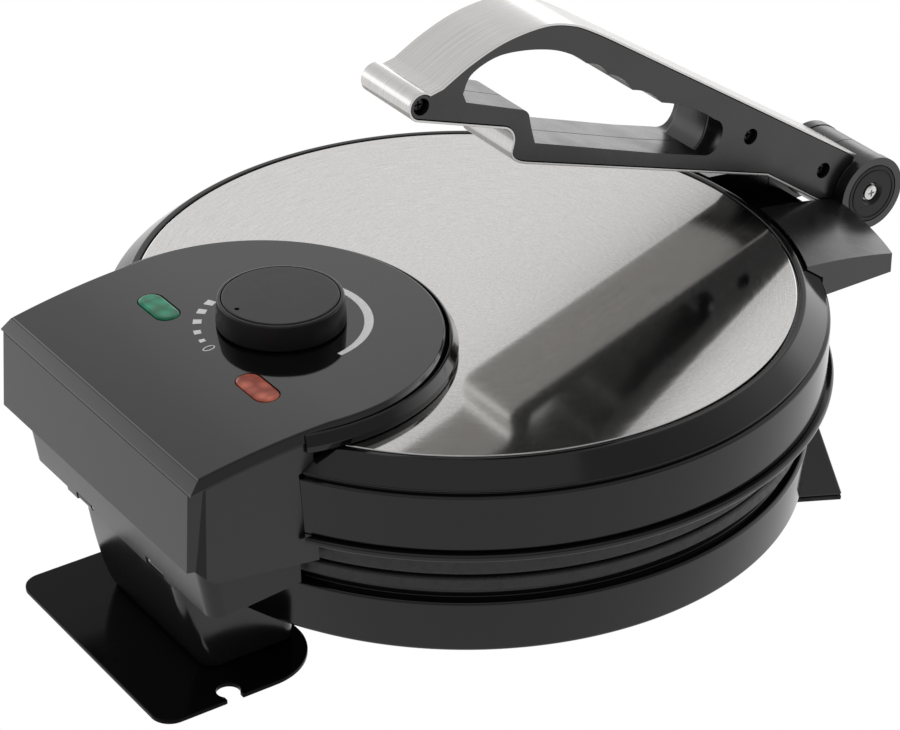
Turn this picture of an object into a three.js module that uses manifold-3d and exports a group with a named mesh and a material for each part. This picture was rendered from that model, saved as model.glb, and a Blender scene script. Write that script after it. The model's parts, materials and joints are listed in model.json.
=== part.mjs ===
import * as THREE from "three";
import { mergeVertices } from "three/addons/utils/BufferGeometryUtils.js";
import Module from "manifold-3d";

const wasm = await Module();
wasm.setup();

// Driving dimensions in millimetres. Heights are measured from the table,
// +Y points to the hinge at the rear, and x = y = 0 is the centre of the cooking plates.
const fit_gap = 0.3;
const cut_overrun = 2;
const shell_wall = 2.6;
const full_turn = Math.PI * 2;
const ring_segments = 48;
const hidden_segments = 28;
const small_segments = 14;
const screw_segments = 8;

// Plan radii: the lid's wall leads, and the other rings keep their steps from it
const lid_radius = 138;
const cover_inset = 13;
const lip_reach = 3.25;
const lip_width = 2.3;
const bevel_setback = 0.8;
const flange_overhang = 2.5;
const flange_end_gap = 2;
const shelf_width = 17;
const plate_inset = 7;
const base_overhang = 1.5;
const base_draft = 1.3;
const seat_inset = 2.6;

// Heights: the base's underside leads, and each level keeps its step from the one below
const base_bottom = 27.3;
const base_height = 21.6;
const plate_gap_rise = 10.2;
const lid_height = 46.3;
const bevel_drop = 7.5;
const lid_wall_drop = 31.1;
const panel_rise = 8.4;
const knob_rise = 10.9;

// Base
const seat_wall = 3;
const base_ledge_width = 12;
const floor_sheet = 2;
const slot_count = 12;
const slot_length = 30;
const slot_width = 5;
const slot_ring_share = 0.58;
const standoff_radius = 6;
const bolt_ring_share = 0.4;
const bolt_count = 3;
const bolt_radius = 2;
const bolt_head_radius = 3.8;
const bolt_head_height = 2;

// Cooking plates and heaters
const plate_thickness = 5;
const lower_rim_height = 5.7;
const upper_rim_height = 12.6;
const plate_rim_wall = 4;
const heater_ring_share = 0.656;
const heater_radius = 3.2;
const heater_gap_angle = 0.34;
const heater_leg = 14;
const shield_sheet = 0.8;
const shield_lift = 8;

// Lid
const cover_sheet = 0.8;
const groove_depth = 1.8;
const groove_height = 1.9;
const flange_height = 2.9;
const rim_tongue_height = 5;

// Control panel and box
const panel_setback = 44;
const panel_length = 66.5;
const panel_rear_half_width = 69.6;
const panel_front_half_width = 71;
const panel_arch_radius = 71.8;
const panel_edge = 4;
const panel_sheet = 2.4;
const panel_rear_drop = 6.8;
const panel_bevel_width = 4.2;
const panel_bevel_drop = 3.7;
const panel_lip_radius = 75.2;
const panel_lip_width = 8;
const panel_lip_height = 2.4;
const panel_lip_run = 18;
const box_rear_overhang = 2.1;
const box_side_draft = 1.7;
const box_corner_chamfer = 6;
const box_corner_width = 2;
const box_corner_widening = 1.2;
const box_skirt_drop = 2.3;
const box_side_drop_rear = 5.5;
const box_side_drop_front = 12.5;
const box_side_step = 8.6;
const lower_box_half_width = 67;
const lower_box_inset = 10.2;
const lower_box_corner = 6;
const lower_box_front_room = 18;
const lower_box_draft = 4;
const lower_box_skirt_half_width = 40;
const lower_box_end_rise = 1.5;
const lower_box_front_rise = 6.6;
const lower_box_height = 26.5;
const lower_box_overlap = 8;

// Knob, dial and lamps
const knob_setback = 12.7;
const knob_radius = 24;
const knob_draft = 0.8;
const knob_lift = 0.6;
const knob_wall = 2.2;
const knob_disc_radius = 21.7;
const knob_disc_sheet = 1.4;
const knob_dot_radius = 0.9;
const knob_dot_reach = 18.4;
const shaft_radius = 3;
const thermostat_width = 34;
const thermostat_depth = 26;
const thermostat_height = 15;
const thermostat_bush_radius = 4.8;
const thermostat_bracket_width = 62;
const thermostat_bracket_depth = 20;
const lamp_offset_x = 35;
const lamp_run = 18.6;
const lens_length = 21;
const lens_width = 9.4;
const lens_proud = 0.5;
const lens_flange = 1.2;
const lens_depth = 8;
const lamp_radius = 2.8;
const lamp_length = 13;

// Hinge, pedestal and feet
const hinge_pin_radius = 1.5;
const knuckle_radius = 3;
const knuckle_x = 27;
const knuckle_width = 10;
const knuckle_room = 0.9;
const hinge_lift = 2;
const strap_sheet = 2;
const strap_flange = 9;
const strap_drop = 5.9;
const pedestal_half_width = 36;
const pedestal_depth = 49.4;
const pedestal_inset = 3;
const pedestal_foot_inset = 10.5;
const pedestal_gap = 1.8;
const pedestal_corner = 9;
const foot_plate_sheet = 2;
const foot_plate_half_width = 55.3;
const foot_plate_overhang = 19.4;
const foot_plate_front_reach = 3;
const foot_plate_rear_corner = 8;
const foot_plate_front_corner = 24;
const plate_boss_radius = 4;
const plate_screw_radius = 1.5;
const plate_screw_head_radius = 3.2;
const plate_screw_head = 0.7;
const plate_screw_length = 14;
const notch_setback = 11;
const notch_radius = 4.4;
const notch_neck = 6.4;
const notch_inset = 5.2;
const foot_angle = THREE.MathUtils.degToRad(62.8);
const foot_width = 17;
const foot_overhang = 17.5;
const foot_root = 12.5;
const foot_pad_height = 2;
const foot_top_drop = 4;
const gland_radius = 6.5;
const gland_bore_radius = 4;
const gland_length = 9;
const gland_flange = 2;
const gland_setback = 27.4;
const gland_height_share = 0.4;

// Handle and its bracket
const pivot_drop = 8;
const pivot_overhang = 14.5;
const handle_rest_angle = THREE.MathUtils.degToRad(23.86);
const handle_reach = 234;
const handle_half_width = 15.8;
const band_sheet = 0.9;
const band_inset = 0.5;
const barrel_radius = 15.5;
const ear_width = 4.6;
const axle_radius = 4;
const cap_radius = 12;
const cap_height = 2;
const cap_bore_radius = 4;
const axle_screw_radius = 3.2;
const axle_screw_height = 1.6;
const side_screw_radius = 2.7;
const side_screw_recess = 3.3;
const side_screw_shank = 1.4;
const core_half_width = 9.4;
const bracket_reach = 32;
const bracket_inner_step = 2.35;
const bracket_half_width = 64;
const bracket_outer_drop = 7.8;
const bracket_inner_drop = 0.6;
const bracket_skirt = 8.2;
const bracket_floor_step = 1.4;
const bracket_floor = 8;
const bracket_keel_half_width = 26;
const bracket_crown = 1.6;
const bracket_screw_x = 38;
const bracket_screw_drop = 12.9;
const bracket_screw_radius = 1.6;
const bracket_screw_head_radius = 3.2;
const bracket_screw_head = 1.8;
const bracket_screw_length = 16;

// Radii and places that follow from the driving dimensions
const cover_radius = lid_radius - cover_inset;
const lip_radius = cover_radius + lip_reach;
const bevel_foot_radius = lid_radius - bevel_setback;
const flange_radius = lid_radius + flange_overhang;
const shelf_radius = cover_radius - shelf_width;
const plate_radius = lid_radius - plate_inset;
const base_radius = plate_radius + base_overhang;
const base_foot_radius = base_radius - base_draft;
const seat_outer_radius = plate_radius - seat_inset;
const bolt_ring_radius = plate_radius * bolt_ring_share;
const heater_ring_radius = plate_radius * heater_ring_share;
const slot_ring_radius = plate_radius * slot_ring_share;
const shell_bottom_radius = plate_radius + fit_gap + shell_wall;
const panel_arch_y = lid_radius - panel_setback;
const panel_rear_y = panel_arch_y + panel_length;
const panel_lip_end_y = panel_arch_y + panel_lip_run;
const box_rear_y = panel_rear_y + box_rear_overhang;
const box_side_step_y = box_rear_y - box_side_step;
const lower_box_rear_y = box_rear_y - lower_box_inset;
const knob_y = panel_arch_y - knob_setback;
const lamp_y = panel_arch_y + lamp_run;
const hinge_y = lower_box_rear_y - knuckle_radius;
const strap_x = knuckle_x - knuckle_width / 2 - fit_gap - strap_sheet / 2;
const pedestal_rear_y = lower_box_rear_y - pedestal_inset;
const pedestal_front_y = pedestal_rear_y - pedestal_depth;
const pedestal_foot_y = pedestal_rear_y - pedestal_foot_inset;
const foot_plate_rear_y = pedestal_rear_y + foot_plate_overhang;
const foot_plate_front_y = pedestal_front_y - foot_plate_front_reach;
const notch_y = pedestal_rear_y - notch_setback;
const gland_y = pedestal_rear_y - gland_setback;
const foot_reach = base_radius + foot_overhang;
const foot_inner_reach = base_radius - foot_root;
const plate_boss_x = pedestal_half_width - shell_wall - plate_boss_radius + fit_gap;
const plate_boss_y = pedestal_front_y + pedestal_corner;
const bracket_outer_radius = lid_radius + bracket_reach;
const bracket_inner_radius = lip_radius + bracket_inner_step;
const pivot_y = -bracket_outer_radius - pivot_overhang;
const ear_inner_x = handle_half_width + fit_gap;
const ear_outer_x = ear_inner_x + ear_width;

// Heights that follow from the driving dimensions
const base_top = base_bottom + base_height;
const plate_gap_z = base_top + plate_gap_rise;
const lower_plate_top = plate_gap_z - fit_gap / 2;
const lower_rim_bottom = lower_plate_top - lower_rim_height;
const seat_top = lower_rim_bottom - fit_gap;
const upper_plate_bottom = plate_gap_z + fit_gap / 2;
const upper_rim_top = upper_plate_bottom + upper_rim_height;
const floor_bottom = base_bottom + shell_wall + fit_gap;
const floor_top = floor_bottom + floor_sheet;
const shield_z = lower_rim_bottom - shield_lift;
const cover_top = plate_gap_z + lid_height;
const shelf_top = cover_top - cover_sheet - fit_gap;
const shelf_bottom = shelf_top - shell_wall;
const hanger_top = shelf_bottom - fit_gap;
const hanger_bottom = hanger_top - shield_sheet;
const bevel_foot_z = cover_top - bevel_drop;
const lid_wall_bottom = cover_top - lid_wall_drop;
const flange_top = lid_wall_bottom - fit_gap;
const flange_bottom = flange_top - flange_height;
const panel_lip_bottom = cover_top + fit_gap;
const panel_flat_z = cover_top + panel_rise;
const panel_roof_bottom = panel_flat_z - panel_sheet;
const knob_bottom = panel_flat_z + knob_lift;
const knob_top = panel_flat_z + knob_rise;
const box_rear_bottom = lid_wall_bottom - box_skirt_drop;
const box_side_bottom_rear = box_rear_bottom - box_side_drop_rear;
const box_side_bottom_front = box_rear_bottom - box_side_drop_front;
const lower_box_bottom = box_rear_bottom - lower_box_height;
const hinge_z = lower_box_bottom + hinge_lift;
const strap_top = bevel_foot_z - strap_drop;
const pedestal_top = lower_box_bottom - pedestal_gap;
const plate_surface = foot_plate_sheet + fit_gap;
const gland_z = pedestal_top * gland_height_share;
const pivot_z = cover_top - pivot_drop;
const bracket_outer_top = cover_top - bracket_outer_drop;
const bracket_inner_top = cover_top - bracket_inner_drop;
const bracket_skirt_bottom = bracket_outer_top - bracket_skirt;
const bracket_floor_top = bracket_skirt_bottom - bracket_floor_step;
const bracket_floor_bottom = bracket_floor_top - bracket_floor;
const bracket_screw_z = cover_top - bracket_screw_drop;

// Finishes
const finish = (color, roughness, metalness = 0) =>
  new THREE.MeshStandardMaterial({ color, roughness, metalness });
const finishes = {
  gloss_black: () => finish(0x2a2a2c, 0.22),
  satin_grey: () => finish(0x4a4a4c, 0.45),
  knob_black: () => finish(0x1c1c1d, 0.5),
  brushed_steel: () => finish(0xb9b7b4, 0.32, 1),
  zinc_steel: () => finish(0x9a9c9e, 0.4, 1),
  black_steel: () => finish(0x151516, 0.35, 0.4),
  coated_aluminium: () => finish(0x262627, 0.6, 0.3),
  heater_steel: () => finish(0x6a6661, 0.5, 0.8),
  rubber: () => finish(0x161616, 0.9),
  phenolic: () => finish(0x3a2f28, 0.7),
  green_lens: () => finish(0x1f8a4d, 0.25),
  red_lens: () => finish(0xb04a3f, 0.25),
  clear_glass: () => finish(0xd8dcdc, 0.1),
};

const object = new THREE.Group();
const handle = new THREE.Group();

function merged(geometry) {
  const plain = geometry.index ? geometry.toNonIndexed() : geometry.clone();
  plain.deleteAttribute("normal");
  plain.deleteAttribute("uv");
  return mergeVertices(plain);
}

function signedVolume(geometry) {
  const place = geometry.attributes.position;
  const order = geometry.index.array;
  const corner = [new THREE.Vector3(), new THREE.Vector3(), new THREE.Vector3()];
  let total = 0;
  for (let start = 0; start < order.length; start += 3) {
    corner.forEach((point, k) => point.fromBufferAttribute(place, order[start + k]));
    total += corner[0].dot(corner[1].clone().cross(corner[2]));
  }
  return total;
}

// A closed three.js geometry as a solid that can be joined and cut
function solid(geometry) {
  const closed = merged(geometry);
  const order = Uint32Array.from(closed.index.array);
  if (signedVolume(closed) < 0) order.reverse();
  const vertProperties = Float32Array.from(closed.attributes.position.array);
  return new wasm.Manifold(new wasm.Mesh({ numProp: 3, vertProperties, triVerts: order }));
}

function place(name, body, make_finish, parent = object) {
  const mesh_data = body.getMesh();
  const geometry = new THREE.BufferGeometry();
  geometry.setAttribute("position", new THREE.BufferAttribute(mesh_data.vertProperties, 3));
  geometry.setIndex(new THREE.BufferAttribute(mesh_data.triVerts, 1));
  geometry.computeVertexNormals();
  const mesh = new THREE.Mesh(geometry, make_finish());
  mesh.name = name;
  parent.add(mesh);
}

const join = (first, ...others) => others.reduce((whole, next) => whole.add(next), first);
const cut = (first, ...others) => others.reduce((whole, next) => whole.subtract(next), first);

// A ring or disc turned round a vertical axis from a closed profile of [radius, height] points
function turned(profile, segments = ring_segments) {
  const points = profile.map(([r, z]) => new THREE.Vector2(r, z));
  points.push(points[0].clone());
  return solid(new THREE.LatheGeometry(points, segments).rotateX(Math.PI / 2));
}

function disc(radius, bottom, top, x = 0, y = 0, segments = small_segments) {
  const round = new THREE.CylinderGeometry(radius, radius, top - bottom, segments);
  return solid(round.rotateX(Math.PI / 2).translate(x, y, (top + bottom) / 2));
}

function rod(radius, left, right, y, z, segments = small_segments) {
  const round = new THREE.CylinderGeometry(radius, radius, right - left, segments);
  return solid(round.rotateZ(Math.PI / 2).translate((left + right) / 2, y, z));
}

function rodAlongDepth(radius, front, rear, x, z, segments = screw_segments) {
  const round = new THREE.CylinderGeometry(radius, radius, rear - front, segments);
  return solid(round.translate(x, (front + rear) / 2, z));
}

function block(low, high) {
  const size = high.map((value, k) => value - low[k]);
  const middle = high.map((value, k) => (value + low[k]) / 2);
  return solid(new THREE.BoxGeometry(...size).translate(...middle));
}

function upright(shape, bottom, top, curveSegments = 12) {
  const options = { depth: top - bottom, bevelEnabled: false, curveSegments };
  return solid(new THREE.ExtrudeGeometry(shape, options).translate(0, 0, bottom));
}

// A drafted body between convex outlines of [x, y] points, one outline for each height
function drafted(levels) {
  const count = levels[0].points.length;
  const place = levels.flatMap(({ points, height }) => points.flatMap(([x, y]) => [x, y, height]));
  const order = [];
  for (let start = 0; start < count * (levels.length - 1); start += count) {
    for (let k = 0; k < count; k += 1) {
      const low = start + k;
      const next = start + (k + 1) % count;
      order.push(low, next, next + count, low, next + count, low + count);
    }
  }
  const top = count * (levels.length - 1);
  for (let k = 1; k < count - 1; k += 1) {
    order.push(0, k + 1, k, top, top + k, top + k + 1);
  }
  const geometry = new THREE.BufferGeometry();
  geometry.setAttribute("position", new THREE.Float32BufferAttribute(place, 3));
  geometry.setIndex(order);
  return solid(geometry);
}

// A side view in (y, z) drawn across the object from left to right
function across(shape, left, right, curveSegments = 12) {
  const options = { depth: right - left, bevelEnabled: false, curveSegments };
  const geometry = new THREE.ExtrudeGeometry(shape, options);
  return solid(geometry.rotateX(Math.PI / 2).rotateZ(Math.PI / 2).translate(left, 0, 0));
}

const outline = (points) => new THREE.Shape(points.map(([a, b]) => new THREE.Vector2(a, b)));

function roundedOutline(half_width, front, rear, front_corner, rear_corner) {
  const shape = new THREE.Shape();
  const half_turn = Math.PI;
  const quarter = half_turn / 2;
  shape.moveTo(-half_width, front + front_corner);
  shape.absarc(-half_width + front_corner, front + front_corner, front_corner, half_turn, 3 * quarter);
  shape.absarc(half_width - front_corner, front + front_corner, front_corner, 3 * quarter, 4 * quarter);
  shape.absarc(half_width - rear_corner, rear - rear_corner, rear_corner, 0, quarter);
  shape.absarc(-half_width + rear_corner, rear - rear_corner, rear_corner, quarter, half_turn);
  shape.closePath();
  return shape;
}

const sides = [
  { side: "left", sign: -1 },
  { side: "right", sign: 1 },
];
const boltAngle = (k) => (k / bolt_count) * full_turn + full_turn / 4;
const boltPlace = (k) => [
  bolt_ring_radius * Math.cos(boltAngle(k)),
  bolt_ring_radius * Math.sin(boltAngle(k)),
];
const bolts = [0, 1, 2].map((k) => ({ letter: "abc"[k], x: boltPlace(k)[0], y: boltPlace(k)[1] }));

// Base housing, its floor and the bolts that clamp the lower plate
const housingBody = (gap) =>
  turned([
    [base_foot_radius + gap, base_bottom - gap],
    [base_radius + gap, base_top + gap],
    [seat_outer_radius + gap, base_top + gap],
    [seat_outer_radius + gap, seat_top + gap],
    [seat_outer_radius - seat_wall - gap, seat_top + gap],
    [seat_outer_radius - seat_wall - gap, base_bottom + shell_wall + gap],
    [seat_outer_radius - seat_wall - base_ledge_width - gap, base_bottom + shell_wall + gap],
    [seat_outer_radius - seat_wall - base_ledge_width - gap, base_bottom - gap],
  ]);

function makeBaseHousing() {
  place("base_housing", housingBody(0), finishes.gloss_black);
}

function makeFloorCover() {
  const radius = seat_outer_radius - seat_wall - fit_gap;
  let body = disc(radius, floor_bottom, floor_top, 0, 0, hidden_segments);
  for (let k = 0; k < slot_count; k += 1) {
    const angle = ((k + 1 / 2) / slot_count) * full_turn;
    const slot = new THREE.BoxGeometry(slot_length, slot_width, floor_sheet + cut_overrun);
    slot.translate(slot_ring_radius, 0, (floor_bottom + floor_top) / 2).rotateZ(angle);
    body = cut(body, solid(slot));
  }
  for (const { x, y } of bolts) {
    body = join(body, disc(standoff_radius, floor_bottom, shield_z - fit_gap, x, y));
    body = cut(body, disc(bolt_radius + fit_gap, floor_bottom - cut_overrun, shield_z, x, y));
  }
  place("base_floor_cover", body, finishes.gloss_black);
}

function makeLowerShield() {
  const radius = seat_outer_radius - seat_wall - fit_gap;
  const top = shield_z + shield_sheet;
  let body = disc(radius, shield_z, top, 0, 0, hidden_segments);
  const legs = heaterLegs(heater_radius + 2 * fit_gap, shield_z - cut_overrun, top + cut_overrun);
  body = cut(body, ...legs);
  for (const { x, y } of bolts) {
    body = cut(body, disc(bolt_radius + fit_gap, shield_z - cut_overrun, top + cut_overrun, x, y));
  }
  place("lower_heat_shield", body, finishes.zinc_steel);
}

function plateBody(face, rim_end, boss_end) {
  const inward = Math.sign(rim_end - face);
  const back = face + inward * plate_thickness;
  let body = turned([
    [0, face],
    [plate_radius, face],
    [plate_radius, rim_end],
    [plate_radius - plate_rim_wall, rim_end],
    [plate_radius - plate_rim_wall, back],
    [0, back],
  ]);
  for (const { x, y } of bolts) {
    const low = Math.min(back - inward * fit_gap, boss_end);
    const high = Math.max(back - inward * fit_gap, boss_end);
    body = join(body, disc(standoff_radius, low, high, x, y));
    const bore_low = Math.min(back, boss_end + inward * cut_overrun);
    const bore_high = Math.max(back, boss_end + inward * cut_overrun);
    body = cut(body, disc(bolt_radius + fit_gap, bore_low, bore_high, x, y, screw_segments));
  }
  return body;
}

function makeLowerPlate() {
  const boss_end = shield_z + shield_sheet + fit_gap;
  place("lower_plate", plateBody(lower_plate_top, lower_rim_bottom, boss_end), finishes.coated_aluminium);
  for (const { letter, x, y } of bolts) {
    const head_top = floor_bottom - fit_gap;
    const shank_top = lower_plate_top - plate_thickness - fit_gap;
    const body = join(
      disc(bolt_head_radius, head_top - bolt_head_height, head_top, x, y, screw_segments),
      disc(bolt_radius, head_top - fit_gap, shank_top, x, y, screw_segments),
    );
    place("lower_plate_bolt_" + letter, body, finishes.zinc_steel);
  }
}

const heaterEnds = [1, -1].map((sign) => full_turn / 4 + (sign * heater_gap_angle) / 2);

function heaterLegs(radius, bottom, top) {
  return heaterEnds.map((angle) => {
    const x = heater_ring_radius * Math.cos(angle);
    const y = heater_ring_radius * Math.sin(angle);
    return disc(radius, bottom, top, x, y, screw_segments);
  });
}

// A tubular heater: an open ring whose two ends turn up or down as terminals
function heaterBody(ring_z, leg_end) {
  const arc = new THREE.EllipseCurve(
    0, 0, heater_ring_radius, heater_ring_radius, heaterEnds[0], heaterEnds[1] + full_turn,
  );
  const middle = arc.getPoints(hidden_segments).map((p) => new THREE.Vector3(p.x, p.y, ring_z));
  const path = new THREE.CatmullRomCurve3(middle);
  const section = new THREE.Shape().absarc(0, 0, heater_radius, 0, full_turn);
  const options = { steps: hidden_segments, extrudePath: path, curveSegments: 4 };
  const ring = solid(new THREE.ExtrudeGeometry(section, options));
  const low = Math.min(ring_z, leg_end);
  const high = Math.max(ring_z, leg_end);
  const knees = heaterEnds.map((angle) => {
    const ball = new THREE.SphereGeometry(heater_radius, 8, 6);
    const x = heater_ring_radius * Math.cos(angle);
    const y = heater_ring_radius * Math.sin(angle);
    return solid(ball.translate(x, y, ring_z));
  });
  return join(ring, ...knees, ...heaterLegs(heater_radius, low, high));
}

function makeLowerHeater() {
  const ring_z = lower_plate_top - plate_thickness - fit_gap - heater_radius;
  place("lower_heater", heaterBody(ring_z, ring_z - heater_leg), finishes.heater_steel);
}

// Rear pedestal with the hinge knuckles, the foot plate below it and the front feet
function pedestalSide(inset) {
  const rear = pedestal_rear_y - inset;
  const shape = new THREE.Shape();
  shape.moveTo(pedestal_front_y + inset, plate_surface - inset * 2);
  shape.lineTo(pedestal_foot_y - inset, plate_surface - inset * 2);
  shape.quadraticCurveTo(rear - pedestal_corner / 2, pedestal_top / 4, rear, pedestal_top - inset);
  shape.lineTo(pedestal_front_y + inset, pedestal_top - inset);
  shape.closePath();
  return shape;
}

function makePedestal() {
  const half = pedestal_half_width;
  const room = half - shell_wall;
  const prism = (inset) => upright(
    roundedOutline(
      half - inset, pedestal_front_y + inset, pedestal_rear_y - inset,
      pedestal_corner - inset, pedestal_corner - inset,
    ),
    plate_surface - inset, pedestal_top, 4,
  ).intersect(across(pedestalSide(inset), -half, half));
  let body = prism(0);
  for (const { sign } of sides) {
    const near = sign * knuckle_x - knuckle_width / 2;
    const far = sign * knuckle_x + knuckle_width / 2;
    const web = block(
      [near, hinge_y - knuckle_radius * 2, pedestal_top - shell_wall / 2],
      [far, hinge_y, hinge_z],
    );
    body = join(body, web, rod(knuckle_radius, near, far, hinge_y, hinge_z));
  }
  body = cut(body, prism(shell_wall));
  for (const { sign } of sides) {
    const x = sign * plate_boss_x;
    body = join(body, disc(plate_boss_radius, plate_surface, base_bottom, x, plate_boss_y));
    const bore_top = plate_screw_length + 2 * fit_gap;
    body = cut(body, disc(plate_screw_radius + fit_gap, 0, bore_top, x, plate_boss_y, screw_segments));
  }
  body = cut(body, rod(hinge_pin_radius + fit_gap, -knuckle_x * 2, knuckle_x * 2, hinge_y, hinge_z));
  body = cut(body, housingEnvelope());
  body = cut(body, rod(gland_radius + fit_gap, room - cut_overrun, pedestal_half_width + cut_overrun,
    gland_y, gland_z));
  place("rear_pedestal", body, finishes.gloss_black);
}

function housingEnvelope() {
  return turned([
    [0, base_bottom - fit_gap],
    [base_foot_radius + fit_gap, base_bottom - fit_gap],
    [base_radius + fit_gap, base_top + fit_gap],
    [0, base_top + fit_gap],
  ]);
}

function makeHinge() {
  for (const { side, sign } of sides) {
    const inner = sign * (strap_x - strap_sheet / 2);
    const outer = sign * (knuckle_x + knuckle_width / 2);
    const pin = rod(hinge_pin_radius, Math.min(inner, outer), Math.max(inner, outer), hinge_y, hinge_z);
    place("hinge_pin_" + side, pin, finishes.zinc_steel);
    const wall_y = Math.sqrt(lid_radius ** 2 - strap_x ** 2);
    const shape = outline([
      [hinge_y - knuckle_radius, hinge_z],
      [lower_box_rear_y - shell_wall - fit_gap, hinge_z],
      [lower_box_rear_y - shell_wall - fit_gap, strap_top],
      [wall_y - cut_overrun, strap_top],
      [wall_y - cut_overrun, lid_wall_bottom + fit_gap],
      [hinge_y - knuckle_radius, lid_wall_bottom - fit_gap],
    ]);
    const near = sign * strap_x - strap_sheet / 2;
    const far = sign * strap_x + strap_sheet / 2;
    const flange_far = sign * (strap_x - strap_flange);
    let body = join(
      across(shape, near, far),
      rod(knuckle_radius - fit_gap, near, far, hinge_y, hinge_z),
      block(
        [Math.min(near, flange_far), wall_y - cut_overrun, lid_wall_bottom + 2 * fit_gap],
        [Math.max(far, flange_far), wall_y + strap_sheet + fit_gap + strap_sheet / 2, strap_top],
      ),
    );
    const bore_left = near - cut_overrun;
    body = cut(body, rod(hinge_pin_radius + fit_gap, bore_left, far + cut_overrun, hinge_y, hinge_z));
    body = cut(body, lidEnvelope());
    place("hinge_strap_" + side, body, finishes.zinc_steel);
  }
}

function makeFootPlate() {
  const plan = roundedOutline(
    foot_plate_half_width, foot_plate_front_y, foot_plate_rear_y,
    foot_plate_front_corner, foot_plate_rear_corner,
  );
  let body = upright(plan, 0, foot_plate_sheet, 6);
  const notch_x = -foot_plate_half_width + notch_inset;
  body = cut(
    body,
    disc(notch_radius, -cut_overrun, foot_plate_sheet + cut_overrun, notch_x, notch_y),
    block(
      [-foot_plate_half_width - cut_overrun, notch_y - notch_neck / 2, -cut_overrun],
      [notch_x, notch_y + notch_neck / 2, foot_plate_sheet + cut_overrun],
    ),
  );
  for (const { side, sign } of sides) {
    const x = sign * plate_boss_x;
    const seat = plate_screw_head + 2 * fit_gap;
    body = cut(
      body,
      disc(plate_screw_head_radius + fit_gap, -cut_overrun, seat, x, plate_boss_y),
      disc(plate_screw_radius + fit_gap, 0, plate_surface, x, plate_boss_y, screw_segments),
    );
    const screw = join(
      disc(plate_screw_head_radius, fit_gap, fit_gap + plate_screw_head, x, plate_boss_y),
      disc(plate_screw_radius, plate_screw_head, plate_screw_length, x, plate_boss_y, screw_segments),
    );
    place("foot_plate_screw_" + side, screw, finishes.zinc_steel);
  }
  place("foot_plate", body, finishes.black_steel);
}

function makeFrontFeet() {
  const foot_shape = outline([
    [foot_inner_reach, base_bottom - fit_gap],
    [foot_inner_reach, foot_pad_height + fit_gap],
    [foot_reach, foot_pad_height + fit_gap],
    [base_radius + shell_wall, base_top - foot_top_drop],
    [base_radius - cut_overrun, base_top - foot_top_drop],
  ]);
  const pad_low = foot_inner_reach + fit_gap;
  for (const { side, sign } of sides) {
    const angle = sign * (full_turn / 4 - foot_angle);
    const swing = (body) => body.rotate([0, 0, THREE.MathUtils.radToDeg(angle) + 180]);
    const foot = swing(across(foot_shape, -foot_width / 2, foot_width / 2));
    place("front_foot_" + side, cut(foot, housingEnvelope()), finishes.gloss_black);
    const pad = swing(block(
      [-foot_width / 2 + fit_gap, pad_low, 0],
      [foot_width / 2 - fit_gap, foot_reach - fit_gap, foot_pad_height],
    ));
    place("front_foot_pad_" + side, pad, finishes.rubber);
  }
}

// Inside the pedestal: the terminal block, and on the side away from view the cord gland
function makeWiring() {
  const room = pedestal_half_width - shell_wall;
  const block_height = (pedestal_top - plate_surface) / 3;
  const terminal = block(
    [-room / 2, pedestal_front_y + shell_wall * 3, plate_surface + fit_gap],
    [room / 2, gland_y + gland_radius, plate_surface + block_height],
  );
  place("terminal_block", terminal, finishes.phenolic);
  const inner = room - gland_flange - fit_gap;
  const outer = pedestal_half_width + gland_length;
  const gland = cut(
    join(
      rod(gland_radius, inner, outer, gland_y, gland_z),
      rod(gland_radius + gland_flange, inner, room - fit_gap, gland_y, gland_z),
      rod(gland_radius + gland_flange, pedestal_half_width + fit_gap,
        pedestal_half_width + fit_gap + gland_flange, gland_y, gland_z),
    ),
    rod(gland_bore_radius, inner - cut_overrun, outer + cut_overrun, gland_y, gland_z),
  );
  place("cord_gland", gland, finishes.rubber);
  const fuse_z = lower_plate_top - plate_thickness - fit_gap;
  const fuse = block(
    [-heater_ring_radius / 4, -bolt_ring_radius / 8, fuse_z - heater_radius * 2],
    [heater_ring_radius / 4, bolt_ring_radius / 8, fuse_z],
  );
  place("thermal_fuse", fuse, finishes.phenolic);
}

// Lid housing: lip, bevel, groove and wall; the rim ring carries the flange below it
const lid_profile_top = [
  [lip_radius - lip_width, cover_top],
  [lip_radius, cover_top],
  [bevel_foot_radius, bevel_foot_z],
  [bevel_foot_radius - groove_depth, bevel_foot_z - groove_height / 2],
  [lid_radius, bevel_foot_z - groove_height],
];

function makeLidHousing() {
  const inner = lid_radius - shell_wall;
  let body = turned([
    ...lid_profile_top,
    [lid_radius, lid_wall_bottom],
    [inner, lid_wall_bottom],
    [inner, bevel_foot_z - groove_height - shell_wall],
    [lip_radius - lip_width / 2, shelf_bottom],
    [shelf_radius, shelf_bottom],
    [shelf_radius, shelf_top],
    [lip_radius - lip_width, shelf_top],
  ]);
  for (const { sign } of sides) {
    const bore = bracket_screw_radius + fit_gap;
    const x = sign * bracket_screw_x;
    body = cut(body, rodAlongDepth(bore, -flange_radius, -plate_radius / 2, x, bracket_screw_z));
  }
  place("lid_housing", body, finishes.gloss_black);
}

function lidEnvelope(reach = flange_radius) {
  return turned([
    [0, cover_top + fit_gap],
    [lip_radius + fit_gap, cover_top + fit_gap],
    [bevel_foot_radius + fit_gap, bevel_foot_z + fit_gap],
    [lid_radius + fit_gap, bevel_foot_z],
    [lid_radius + fit_gap, lid_wall_bottom],
    [reach + fit_gap, lid_wall_bottom],
    [reach + fit_gap, flange_bottom - fit_gap],
    [shell_bottom_radius + fit_gap, flange_bottom - fit_gap],
    [shell_bottom_radius + fit_gap, base_bottom - fit_gap],
    [0, base_bottom - fit_gap],
  ]);
}

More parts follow.
